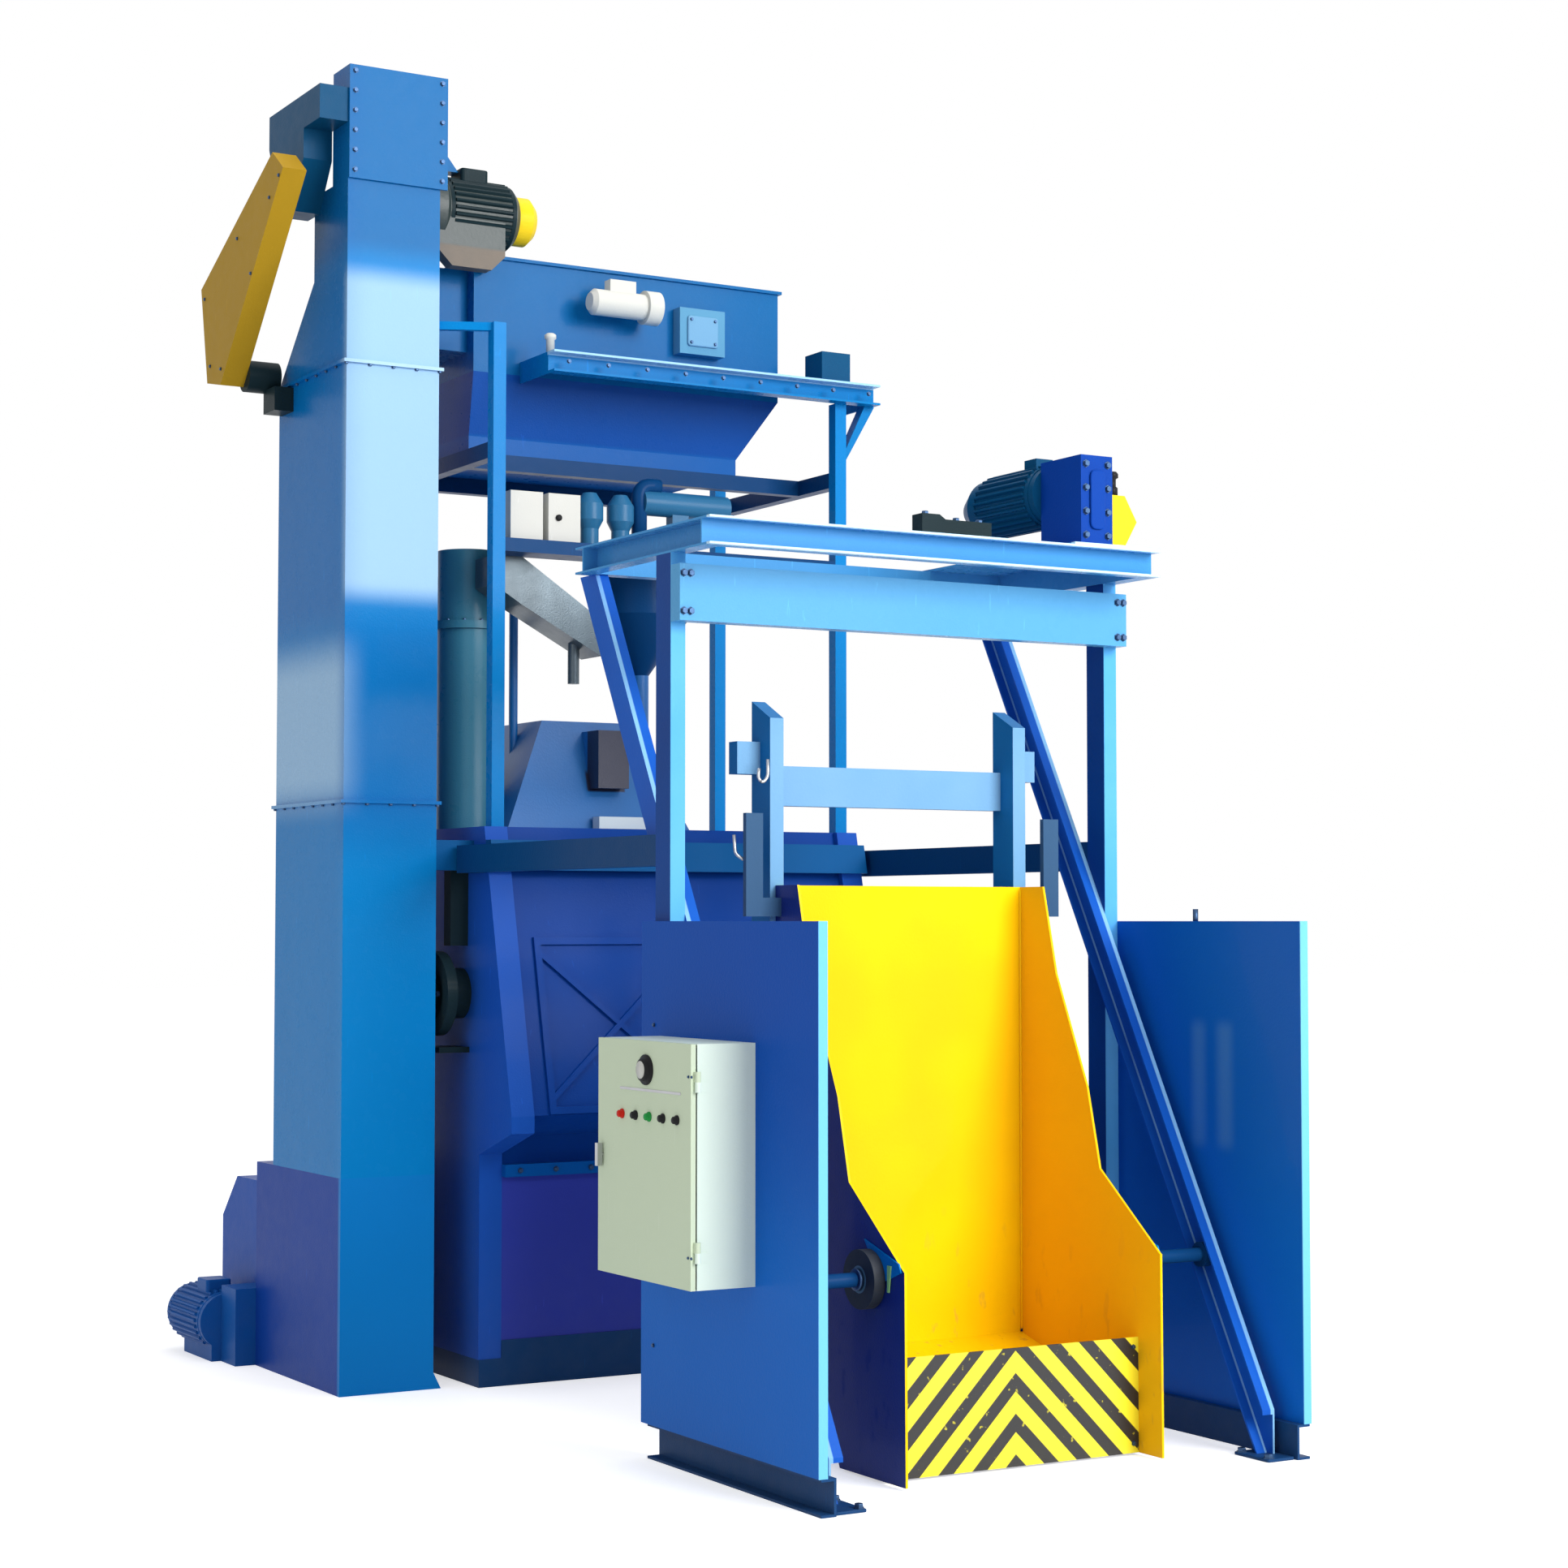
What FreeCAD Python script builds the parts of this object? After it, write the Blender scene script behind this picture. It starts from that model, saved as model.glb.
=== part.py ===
import FreeCAD, Part
import Sketcher
import os
import re

# Tumble-belt shot blasting machine with a bucket elevator, a separator tower and a front skip loader.
# Millimetres. The origin is the centre of the blast chamber's base at floor level.
# +X is to the right seen from the loader, +Y runs from the loader to the back, +Z is up.
# Levels are heights above the floor; insets and reaches are measured from the part that they name.

sizes = {
    # blast chamber
    "chamberWidth": 1590,
    "chamberDepth": 1030,
    "chamberTop": 2030,
    "baseHeight": 100,
    "kickHeight": 65,
    "kickProud": 4,
    "jambWidth": 90,
    "jambProud": 25,
    "jambNoseDrop": 60,
    "ledgeLevel": 755,
    "ledgeHeight": 45,
    "ledgeProud": 30,
    "noseUnderLevel": 900,
    "noseLevel": 990,
    "noseReach": 250,
    "browReach": 5,
    "lowerPanelThickness": 12,
    "doorThickness": 30,
    "ribProud": 14,
    "ribWidth": 26,
    "ribTopLevel": 1600,
    "ribLowLevel": 1020,
    "ribSideInset": 70,
    "capLevel": 1870,
    "capHeight": 110,
    "capProud": 45,
    # drive of the tumble belt, in the gap beside the elevator
    "driveRadius": 155,
    "driveLength": 120,
    "driveLevel": 1420,
    "driveBehind": 170,
    "driveShelfDrop": 60,
    "driveShelfThickness": 20,
    "chainGuardWidth": 70,
    "chainGuardDepth": 60,
    # bucket elevator
    "elevatorGap": 150,
    "elevatorWidth": 360,
    "elevatorInset": 60,
    "elevatorDepth": 685,
    "bootDepth": 860,
    "bootHeight": 770,
    "bootFootSize": 60,
    "lowerCasingHeight": 1350,
    "upperCasingHeight": 1590,
    "collarHeight": 340,
    "neckHeight": 320,
    "neckDepth": 330,
    "headHeight": 415,
    "headDepth": 150,
    "flangeProud": 14,
    "flangeThickness": 12,
    "coverProud": 12,
    "coverReach": 25,
    # boot drive behind and beside the elevator's foot
    "tailInset": 70,
    "tailDepth": 580,
    "tailHeight": 680,
    "tailChamfer": 165,
    "bootMotorRadius": 105,
    "bootMotorLength": 430,
    "bootMotorLevel": 150,
    "bootGearDepth": 160,
    "bootGearWidth": 150,
    "bootGearHeight": 290,
    # head drive on the elevator's outer side
    "bearingReach": 110,
    "bearingArmLevel": 205,
    "bearingArmHeight": 125,
    "bearingArmDepth": 520,
    "bearingLobeStart": 160,
    "bearingLobeEnd": 400,
    "bearingLobeDrop": 405,
    "bearingLobeWaist": 235,
    "shaftRadius": 30,
    "shaftBehind": 305,
    "beltGuardStand": 150,
    "beltGuardThickness": 90,
    "beltGuardTopFront": 20,
    "beltGuardTopRear": 130,
    "beltGuardBottomFront": 670,
    "beltGuardBottomRear": 820,
    "beltGuardRear": 900,
    "beltGuardTopRise": 750,
    "beltGuardFrontRise": 670,
    "beltGuardRearRise": 395,
    "beltGuardLowRise": 20,
    "beltGuardDip": 10,
    "beltMotorRadius": 60,
    "beltMotorRise": 30,
    "beltMotorBehind": 655,
    "beltMotorGap": 25,
    "beltBracketDrop": 110,
    "beltBracketHeight": 90,
    "beltBracketDepth": 120,
    # gear motor at the elevator's head
    "gearMotorRadius": 122,
    "gearMotorLength": 375,
    "gearMotorLevel": 4345,
    "gearMotorBehind": 205,
    "gearMotorTaper": 22,
    "gearboxRadius": 150,
    "gearboxLength": 60,
    "gearCasingDrop": 225,
    "gearCasingLength": 270,
    "gearCasingWidth": 60,
    "gearCasingInset": 7,
    "gearCasingStart": 35,
    "gearCasingTaper": 55,
    "fanCapLength": 85,
    "fanCapRadius": 92,
    "fanCapBevel": 25,
    "gearBracketHeight": 75,
    "gearBracketReach": 150,
    "gearBracketWidth": 60,
    # separator tower
    "postProud": 15,
    "postInset": 35,
    "postSize": 50,
    "postRearInset": 20,
    "towerBeamHeight": 60,
    "valveShelfLevel": 3045,
    "valveShelfHeight": 50,
    "valveShelfDepth": 150,
    "valveBoxDepth": 110,
    "valveBoxHeight": 185,
    "valveBoxWidth": 132,
    "valveBoxStart": 44,
    "valveBoxPitch": 155,
    "valveBodyRadius": 52,
    "valveBodyHeight": 205,
    "valveBodyStart": 395,
    "valveBodyPitch": 130,
    "actuatorRadius": 48,
    "actuatorLength": 370,
    "actuatorStart": 613,
    "actuatorRise": 185,
    "saddleWidth": 70,
    "platformLevel": 3720,
    "platformHeight": 80,
    "platformLeftInset": 255,
    "platformRightReach": 90,
    "platformFrontReach": 55,
    "platformFlange": 60,
    "plateThickness": 8,
    "braceDrop": 220,
    "braceThickness": 45,
    "braceReach": 130,
    "platformBoxSize": 130,
    "platformBoxInset": 85,
    "platformBoxBehind": 90,
    "handrailLevel": 3860,
    "handrailSize": 30,
    "separatorLeftInset": 63,
    "separatorRightInset": 205,
    "separatorInset": 230,
    "separatorDepth": 700,
    "separatorHeight": 445,
    "separatorLip": 12,
    "funnelOutletLevel": 3450,
    "funnelCollar": 60,
    "funnelHeight": 240,
    "funnelRightTaper": 170,
    "funnelFrontTaper": 40,
    "chuteLow": 3830,
    "chuteHeight": 310,
    "chuteInset": 230,
    "chuteDepth": 300,
    "sepMotorRadius": 50,
    "sepMotorLength": 230,
    "sepMotorLevel": 4040,
    "sepMotorStart": 430,
    "sepFlangeRadius": 65,
    "sepFlangeLength": 60,
    "sepMountDepth": 60,
    "sepTerminalWidth": 110,
    "sepTerminalHeight": 90,
    "inspectionWidth": 200,
    "inspectionHeight": 180,
    "inspectionDepth": 55,
    "inspectionStart": 850,
    "inspectionLevel": 3895,
    # on top of the chamber
    "housingLeftInset": 190,
    "housingRightInset": 625,
    "housingInset": 180,
    "housingDepth": 600,
    "housingTaper": 200,
    "housingFrontTaper": 130,
    "housingHeight": 420,
    "wheelBoxWidth": 130,
    "wheelBoxHeight": 220,
    "wheelBoxLevel": 160,
    "wheelBoxStart": 365,
    "wheelBoxProud": 25,
    "trimBoxWidth": 200,
    "trimBoxHeight": 50,
    "trimBoxDepth": 60,
    "trimBoxStart": 352,
    "hopperRadius": 195,
    "hopperHeight": 175,
    "hopperConeHeight": 230,
    "hopperPipeRadius": 33,
    "hopperPipeHeight": 620,
    "hopperOffset": 685,
    "hopperBehind": 430,
    "ductRadius": 120,
    "ductInset": 135,
    "ductHeight": 1060,
    "ductRingHeight": 30,
    "ductRingProud": 14,
    "ductRingDrop": 300,
    "sprayPipeRadius": 17,
    "sprayPipeInset": 168,
    "sprayPipeHeight": 955,
    "troughDepth": 170,
    "troughFrontGap": 5,
    "troughLeft": 15,
    "troughCrest": 115,
    "troughRun": 445,
    "troughFall": 330,
    "troughSide": 110,
    "troughBelly": 180,
    "spoutRadius": 22,
    "spoutLength": 130,
    "spoutInset": 75,
    # loader guards, gantry and top frame
    "loaderReach": 2570,
    "guardOverhang": 107.5,
    "guardThickness": 30,
    "guardDepth": 1090,
    "guardBottom": 109,
    "guardTop": 1685,
    "footDepth": 1060,
    "footWidth": 50,
    "footSheet": 8,
    "footInset": 8,
    "gantryFront": 955,
    "gantryDepth": 100,
    "gantryWidth": 52,
    "lintelDrop": 220,
    "lintelHeight": 180,
    "lintelDepth": 60,
    "trayFront": 700,
    "trayRear": 1640,
    "trayLevel": 2850,
    "trayHeight": 90,
    "traySection": 60,
    "trayWall": 7,
    "tieLevel": 1860,
    "tieHeight": 100,
    "tieGap": 20,
    "tieFootDepth": 90,
    # hoist on the top frame
    "hoistDeckWidth": 357,
    "hoistInset": 184,
    "hoistFront": 25,
    "hoistWidth": 130,
    "hoistDepth": 230,
    "hoistHeight": 300,
    "hoistMotorRadius": 100,
    "hoistMotorLength": 400,
    "hoistMotorLevel": 195,
    "hoistCapRadius": 55,
    "hoistCapLength": 90,
    "hoistTerminalSize": 70,
    "couplingDepth": 110,
    "couplingWidth": 102,
    "couplingHeight": 172,
    "couplingSide": 50,
    "bearingBlockWidth": 270,
    "bearingBlockHeight": 60,
    "bearingBlockLeft": 780,
    # rails
    "railStart": 59,
    "railFlange": 48,
    "railWall": 7,
    "railRun": 1594,
    "railRise": 2850,
    "railFootInset": 82,
    # skip
    "skipWidth": 960,
    "skipWall": 8,
    "skipClear": 8,
    "skipTop": 1800,
    "skipFront": 205,
    "skipShoulder": 210,
    "skipShoulderLevel": 640,
    "skipThroat": 525,
    "skipThroatLevel": 885,
    "skipWaist": 592,
    "skipWaistLevel": 1145,
    "skipBrow": 762,
    "skipBrowLevel": 1510,
    "skipLip": 835,
    "skipBack": 965,
    "skipHeel": 580,
    "skipHeelBend": 685,
    "skipHeelBendLevel": 225,
    "skipHeelRise": 300,
    "stripePlateInset": 120,
    "stripePlateTop": 370,
    "armSpan": 1000,
    "armWidth": 50,
    "armDepth": 120,
    "armTop": 2400,
    "armLow": 700,
    "armChamfer": 60,
    "crossbarDrop": 340,
    "crossbarHeight": 130,
    "crossbarDepth": 45,
    "strapLow": 1700,
    "strapTop": 2030,
    "strapWidth": 62,
    "strapReach": 130,
    "strapFront": 935,
    "strapThickness": 20,
    "strapFootHeight": 60,
    "earDrop": 240,
    "earHeight": 105,
    "earReach": 85,
    "earDepth": 55,
    "axleLevel": 605,
    "axleRadius": 22,
    "rollerRadius": 40,
    "rollerWidth": 30,
    "rollerSide": 8,
    "rollerSeat": 0.3,
    "rollerPlay": 5,
    "wheelRadius": 90,
    "wheelWidth": 38,
    "wheelHubRadius": 40,
    "wheelHubInset": 9,
    "wheelGap": 6,
    "wheelRunning": 0.05,
    # electrical cabinet
    "cabinetFront": 363,
    "cabinetWidth": 600,
    "cabinetHeight": 715,
    "cabinetBottom": 611,
    "cabinetDepth": 216,
    "cabinetSkin": 3,
    "panelInset": 25,
    "panelThickness": 4,
    "panelStand": 12,
    "doorSkin": 16,
    "doorGap": 5,
    "hingeRunning": 0.05,
    "knuckleRadius": 9,
    "knuckleLength": 30,
    "knuckleInset": 80,
    "leafThickness": 3,
    "leafWidth": 40,
    "pinRadius": 4,
    "latchRadius": 6,
    "latchInset": 30,
    "latchStand": 6,
    "latchGripDepth": 22,
    "latchGripLength": 70,
}

doc = FreeCAD.newDocument("ShotBlastMachine")
sheet = doc.addObject("Spreadsheet::Sheet", "Sizes")
for row, (alias, value) in enumerate(sizes.items(), 1):
    sheet.set("A%d" % row, alias)
    sheet.set("B%d" % row, str(value))
    sheet.setAlias("B%d" % row, alias)
doc.recompute()

aliasPattern = re.compile(r"\b(" + "|".join(sizes) + r")\b")
turns = {
    "X": FreeCAD.Rotation(FreeCAD.Vector(0, 1, 0), 90),
    "Y": FreeCAD.Rotation(FreeCAD.Vector(1, 0, 0), -90),
    "Z": FreeCAD.Rotation(),
}
nodes = {}
startSpread = 10  # the corners' rough places before their constraints hold them


def bound(text):
    """Expression text that reads every size from the sheet."""
    return aliasPattern.sub(r"Sizes.\1", str(text))


def put(piece, at, axis="Z"):
    """Turn a piece's own Z onto an axis and bind its place."""
    piece.Placement = FreeCAD.Placement(FreeCAD.Vector(), turns[axis])
    for letter, text in zip("xyz", at):
        piece.setExpression("Placement.Base." + letter, bound(text))
    return piece


def box(name, at, size):
    piece = doc.addObject("Part::Box", name)
    for side, text in zip(("Length", "Width", "Height"), size):
        piece.setExpression(side, bound(text))
    return put(piece, at)


def rod(name, at, axis, radius, length):
    piece = doc.addObject("Part::Cylinder", name)
    piece.setExpression("Radius", bound(radius))
    piece.setExpression("Height", bound(length))
    return put(piece, at, axis)


def sketch(body, plane, outline, start):
    """A closed outline of corners, each bound to the sheet, at a distance from one of the body's planes."""
    profile = body.newObject("Sketcher::SketchObject", body.Name + "Profile")
    origin = [face for face in body.Origin.OriginFeatures if face.Role == plane + "_Plane"]
    profile.AttachmentSupport = [(origin[0], "")]
    profile.MapMode = "FlatFace"
    sign = "-" if plane == "XZ" else ""
    profile.setExpression("AttachmentOffset.Base.z", bound("%s(%s)" % (sign, start)))
    count = len(outline)
    corners = [
        FreeCAD.Vector(startSpread * index, startSpread * index * index, 0) for index in range(1, count + 1)
    ]
    for index in range(count):
        profile.addGeometry(Part.LineSegment(corners[index], corners[(index + 1) % count]))
    for index in range(count):
        profile.addConstraint(Sketcher.Constraint("Coincident", index, 2, (index + 1) % count, 1))
    for index, (u, v) in enumerate(outline):
        for kind, text, value in (("DistanceX", u, corners[index].x), ("DistanceY", v, corners[index].y)):
            number = profile.addConstraint(Sketcher.Constraint(kind, -1, 1, index, 1, value))
            profile.setExpression("Constraints[%d]" % number, bound(text))
    return profile


def extrusion(name, plane, outline, start, length):
    """An outline padded towards +X, +Y or +Z."""
    body = doc.addObject("PartDesign::Body", name)
    profile = sketch(body, plane, outline, start)
    pad = body.newObject("PartDesign::Pad", name + "Pad")
    pad.Profile = profile
    pad.Reversed = plane == "XZ"
    pad.setExpression("Length", bound(length))
    return body


def turned(name, outline, at, axis):
    """A profile of (radius, height) corners turned about its own height."""
    body = doc.addObject("PartDesign::Body", name)
    profile = sketch(body, "XZ", outline, "0")
    spin = body.newObject("PartDesign::Revolution", name + "Turn")
    spin.Profile = profile
    spin.ReferenceAxis = (profile, ["V_Axis"])
    spin.Angle = 360
    return put(body, at, axis)


def lofted(name, plane, sections):
    """Straight walls between outlines on parallel planes: each section is (start, outline)."""
    body = doc.addObject("PartDesign::Body", name)
    profiles = [sketch(body, plane, outline, start) for start, outline in sections]
    loft = body.newObject("PartDesign::AdditiveLoft", name + "Loft")
    loft.Profile = profiles[0]
    loft.Sections = profiles[1:]
    loft.Ruled = True
    return body


def joined(name, *pieces):
    piece = doc.addObject("Part::MultiFuse", name)
    piece.Shapes = list(pieces)
    return piece


def cut(name, base, *tools):
    piece = doc.addObject("Part::Cut", name)
    piece.Base = base
    piece.Tool = tools[0] if len(tools) == 1 else joined(name + "Tools", *tools)
    return piece


def group(name, *pieces):
    piece = doc.addObject("Part::Compound", name)
    piece.Links = list(pieces)
    return piece


def node(label, piece):
    piece.Label = label
    nodes[label] = piece


def rectangle(u0, v0, u1, v1):
    return [(u0, v0), (u1, v0), (u1, v1), (u0, v1)]


def channel(v0, w0, v1, w1, wall, side):
    """C section between two corners: side says which edge is open: low or high first coordinate."""
    if side == "low":
        return [
            (v0, w0), (v1, w0), (v1, w1), (v0, w1), (v0, f"{w1} - {wall}"),
            (f"{v1} - {wall}", f"{w1} - {wall}"), (f"{v1} - {wall}", f"{w0} + {wall}"),
            (v0, f"{w0} + {wall}")
        ]
    return [(v0, w0), (v1, w0), (v1, f"{w0} + {wall}"), (f"{v0} + {wall}", f"{w0} + {wall}"),
            (f"{v0} + {wall}", f"{w1} - {wall}"), (v1, f"{w1} - {wall}"), (v1, w1), (v0, w1)]


# places that several pieces share
halfWidth = "(chamberWidth / 2)"
front = "(-chamberDepth / 2)"
back = "(chamberDepth / 2)"
loader = "(-chamberDepth / 2 - loaderReach)"
elevatorRight = "(-chamberWidth / 2 - elevatorGap)"
elevatorLeft = "(-chamberWidth / 2 - elevatorGap - elevatorWidth)"
elevatorFront = "(-chamberDepth / 2 + elevatorInset)"
lowerSeam = "(bootHeight + lowerCasingHeight)"
upperSeam = "(bootHeight + lowerCasingHeight + upperCasingHeight)"
collarSeam = f"({upperSeam} + collarHeight)"
headSeam = f"({collarSeam} + neckHeight)"
elevatorTop = f"({headSeam} + headHeight)"
guardHalf = "(chamberWidth / 2 + guardOverhang)"
gantryHalf = "(chamberWidth / 2 + guardOverhang - guardThickness)"
railOuter = "(chamberWidth / 2 + guardOverhang - guardThickness - gantryWidth)"
separatorFront = "(-chamberDepth / 2 + separatorInset)"
funnelLevel = "(funnelOutletLevel + funnelCollar + funnelHeight)"
postFront = "(-chamberDepth / 2 - postProud)"
postOuter = "(chamberWidth / 2 - postInset)"
railLength = "sqrt(railRun * railRun + railRise * railRise)"


def leaning(reach, level):
    """How far forward the leaning front stands at a level, measured from a proud distance."""
    slope = "(noseReach - browReach) / (chamberTop - noseLevel)"
    return f"({front} - browReach - ({reach}) - {slope} * (chamberTop - ({level})))"


def buildChamber():
    kick = box("KickStrip", (f"-{halfWidth} + jambWidth", f"{front} - kickProud", "baseHeight"),
               ("chamberWidth - 2 * jambWidth", "kickProud + lowerPanelThickness", "kickHeight"))
    base = box("BaseFrame", (f"-{halfWidth}", f"{front} - kickProud", 0),
               ("chamberWidth", "chamberDepth + kickProud", "baseHeight"))
    node("chamber_base", joined("ChamberBase", base, kick))
    wallLine = f"({front} + lowerPanelThickness)"
    side = [
        (wallLine, "baseHeight"),
        (back, "baseHeight"),
        (back, "chamberTop"),
        (leaning("-doorThickness", "chamberTop"), "chamberTop"),
        (leaning("-doorThickness", "noseLevel"), "noseLevel"),
        (wallLine, "noseUnderLevel"),
    ]
    inner = "chamberWidth - 2 * jambWidth"
    innerLeft = f"-{halfWidth} + jambWidth"
    node("chamber_body", extrusion("ChamberBody", "YZ", side, innerLeft, inner))
    jamb = [
        (front, "baseHeight"),
        (back, "baseHeight"),
        (back, "chamberTop"),
        (leaning("jambProud", "chamberTop"), "chamberTop"),
        (leaning("jambProud", "noseLevel"), "noseLevel"),
        (leaning("jambProud", "noseLevel"), "noseLevel - jambNoseDrop"),
        (front, "noseUnderLevel - jambNoseDrop"),
    ]
    left = extrusion("LeftJamb", "YZ", jamb, f"-{halfWidth}", "jambWidth")
    right = extrusion("RightJamb", "YZ", jamb, f"{halfWidth} - jambWidth", "jambWidth")
    node("chamber_jambs", group("ChamberJambs", left, right))
    door = [
        (leaning("0", "noseLevel"), "noseLevel"),
        (leaning("-doorThickness", "noseLevel"), "noseLevel"),
        (leaning("-doorThickness", "chamberTop"), "chamberTop"),
        (leaning("0", "chamberTop"), "chamberTop"),
    ]
    node("front_door", extrusion("FrontDoor", "YZ", door, innerLeft, inner))
    buildDoorRibs()
    node("lower_panel", box("LowerPanel", (innerLeft, front, "baseHeight + kickHeight"),
                            (inner, "lowerPanelThickness", "ledgeLevel - baseHeight - kickHeight")))
    node("front_ledge", box("Ledge", (innerLeft, f"{front} - ledgeProud", "ledgeLevel"),
                            (inner, "ledgeProud + lowerPanelThickness", "ledgeHeight")))
    cap = [
        (leaning("jambProud + capProud", "capLevel"), "capLevel"),
        (leaning("jambProud", "capLevel"), "capLevel"),
        (leaning("jambProud", "capLevel + capHeight"), "capLevel + capHeight"),
        (leaning("jambProud + capProud", "capLevel + capHeight"), "capLevel + capHeight"),
    ]
    beam = extrusion("CapBeam", "YZ", cap, f"-{halfWidth}", "chamberWidth")
    tie = box(
        "GapTie", (elevatorRight, elevatorFront, "capLevel"), ("elevatorGap", "capProud", "capHeight")
    )
    node("cap_beam", group("CapBeams", beam, tie))


def buildDoorRibs():
    """Raised bars on the leaning door: a frame and two bays of crossed diagonals."""
    left = f"(-{halfWidth} + jambWidth + ribSideInset)"
    right = f"({halfWidth} - jambWidth - ribSideInset)"
    low = "ribLowLevel"
    high = "ribTopLevel"
    start = leaning("2 * ribProud", low)
    depth = f"({leaning('-ribProud', high)} - {start})"
    bars = [
        rectangle(left, high, right, "ribTopLevel + ribWidth"),
        rectangle(left, "ribLowLevel - ribWidth", right, low),
        rectangle(left, low, f"{left} + ribWidth", high),
        rectangle(f"{right} - ribWidth", low, right, high),
        rectangle("-ribWidth / 2", low, "ribWidth / 2", high),
    ]
    for bayLeft, bayRight in ((left, "0"), ("0", right)):
        bars.append(
            [
                (bayLeft, low), (bayLeft, "ribLowLevel + ribWidth"), (bayRight, high),
                (bayRight, "ribTopLevel - ribWidth")
            ]
        )
        bars.append(
            [
                (bayLeft, "ribTopLevel - ribWidth"), (bayLeft, high), (bayRight, "ribLowLevel + ribWidth"),
                (bayRight, low)
            ]
        )
    pieces = [extrusion("Rib%d" % number, "XZ", bar, start, depth) for number, bar in enumerate(bars)]
    slab = extrusion("RibSlab", "YZ", [
        (leaning("0", "noseLevel"), "noseLevel"),
        (leaning("0", "capLevel"), "capLevel"),
        (leaning("ribProud", "capLevel"), "capLevel"),
        (leaning("ribProud", "noseLevel"), "noseLevel"),
    ], left, f"{right} - {left}")
    ribs = doc.addObject("Part::Common", "DoorRibs")
    ribs.Base = joined("RibBars", *pieces)
    ribs.Tool = slab
    node("door_ribs", ribs)


def buildBeltDrive():
    """Pulley, chain guard and shelf that drive the tumble belt, beside the left jamb."""
    y = f"({front} + driveBehind)"
    hub = "driveLength / 3"
    pulley = turned(
        "DrivePulley",
        [
            ("0", "0"), ("driveRadius / 4", "0"), ("driveRadius / 4", "driveLength / 8"),
            ("driveRadius * 2 / 3", "driveLength / 8"), ("driveRadius * 2 / 3", "0"), ("driveRadius", "0"),
            ("driveRadius", hub), ("driveRadius * 3 / 5", hub), ("driveRadius * 3 / 5", "driveLength"),
            ("0", "driveLength")
        ],
        (f"-{halfWidth} - driveLength", y, "driveLevel"), "X"
    )
    guard = box(
        "ChainGuard",
        (
            f"-{halfWidth} - chainGuardWidth", f"{y} - chainGuardDepth",
            "driveLevel + driveRadius + driveShelfThickness"
        ),
        ("chainGuardWidth", "chainGuardDepth", "capLevel - driveLevel - driveRadius - driveShelfThickness")
    )
    shelf = box(
        "DriveShelf",
        (
            f"-{halfWidth} - driveLength", f"{y} - driveRadius / 2",
            "driveLevel - driveRadius - driveShelfDrop"
        ),
        ("driveLength", "driveRadius", "driveShelfThickness")
    )
    node("belt_drive", group("BeltDrive", pulley, guard, shelf))


def casing(name, low, high):
    """A rectangular casing section with a bolting flange at its top."""
    shell = box(
        name + "Shell", (elevatorLeft, elevatorFront, low),
        ("elevatorWidth", "elevatorDepth", f"{high} - ({low})")
    )
    rim = box(
        name + "Rim",
        (f"{elevatorLeft} - flangeProud", f"{elevatorFront} - flangeProud", f"{high} - flangeThickness"),
        ("elevatorWidth + 2 * flangeProud", "elevatorDepth + 2 * flangeProud", "flangeThickness")
    )
    return joined(name, shell, rim)


def buildElevator():
    boot = box("Boot", (elevatorLeft, elevatorFront, 0), ("elevatorWidth", "bootDepth", "bootHeight"))
    foot = extrusion("BootFoot", "XZ", [
        (elevatorRight, "0"), (f"{elevatorRight} + bootFootSize / 2", "0"), (elevatorRight, "bootFootSize"),
    ], elevatorFront, "flangeThickness")
    node("elevator_boot", joined("ElevatorBoot", boot, foot))
    node("elevator_lower_casing", casing("LowerCasing", "bootHeight", lowerSeam))
    node("elevator_upper_casing", casing("UpperCasing", lowerSeam, upperSeam))
    collar = lofted(
        "Collar", "XY",
        [
            (
                upperSeam,
                rectangle(elevatorLeft, elevatorFront, elevatorRight, f"({elevatorFront} + elevatorDepth)")
            ),
            (
                collarSeam,
                rectangle(elevatorLeft, elevatorFront, elevatorRight, f"({elevatorFront} + neckDepth)")
            )
        ]
    )
    neck = box(
        "HeadNeck", (elevatorLeft, elevatorFront, collarSeam), ("elevatorWidth", "neckDepth", "neckHeight")
    )
    shell = box(
        "HeadShell", (elevatorLeft, elevatorFront, headSeam), ("elevatorWidth", "headDepth", "headHeight")
    )
    cover = box(
        "HeadCover", (elevatorLeft, f"{elevatorFront} - coverProud", headSeam),
        ("elevatorWidth + coverReach", "coverProud", "headHeight")
    )
    level = "(gearMotorLevel + gearboxRadius)"
    bracketY = f"({elevatorFront} + gearMotorBehind - gearBracketWidth / 2)"
    bracket = extrusion("GearBracket", "XZ", [
        (elevatorRight, level),
        (f"{elevatorRight} + gearBracketReach", level),
        (f"{elevatorRight} + gearBracketReach * 3 / 5", f"{level} + gearBracketHeight"),
        (elevatorRight, f"{level} + gearBracketHeight / 3"),
    ], bracketY, "gearBracketWidth")
    node("elevator_head", joined("ElevatorHead", collar, neck, shell, cover, bracket))


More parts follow.
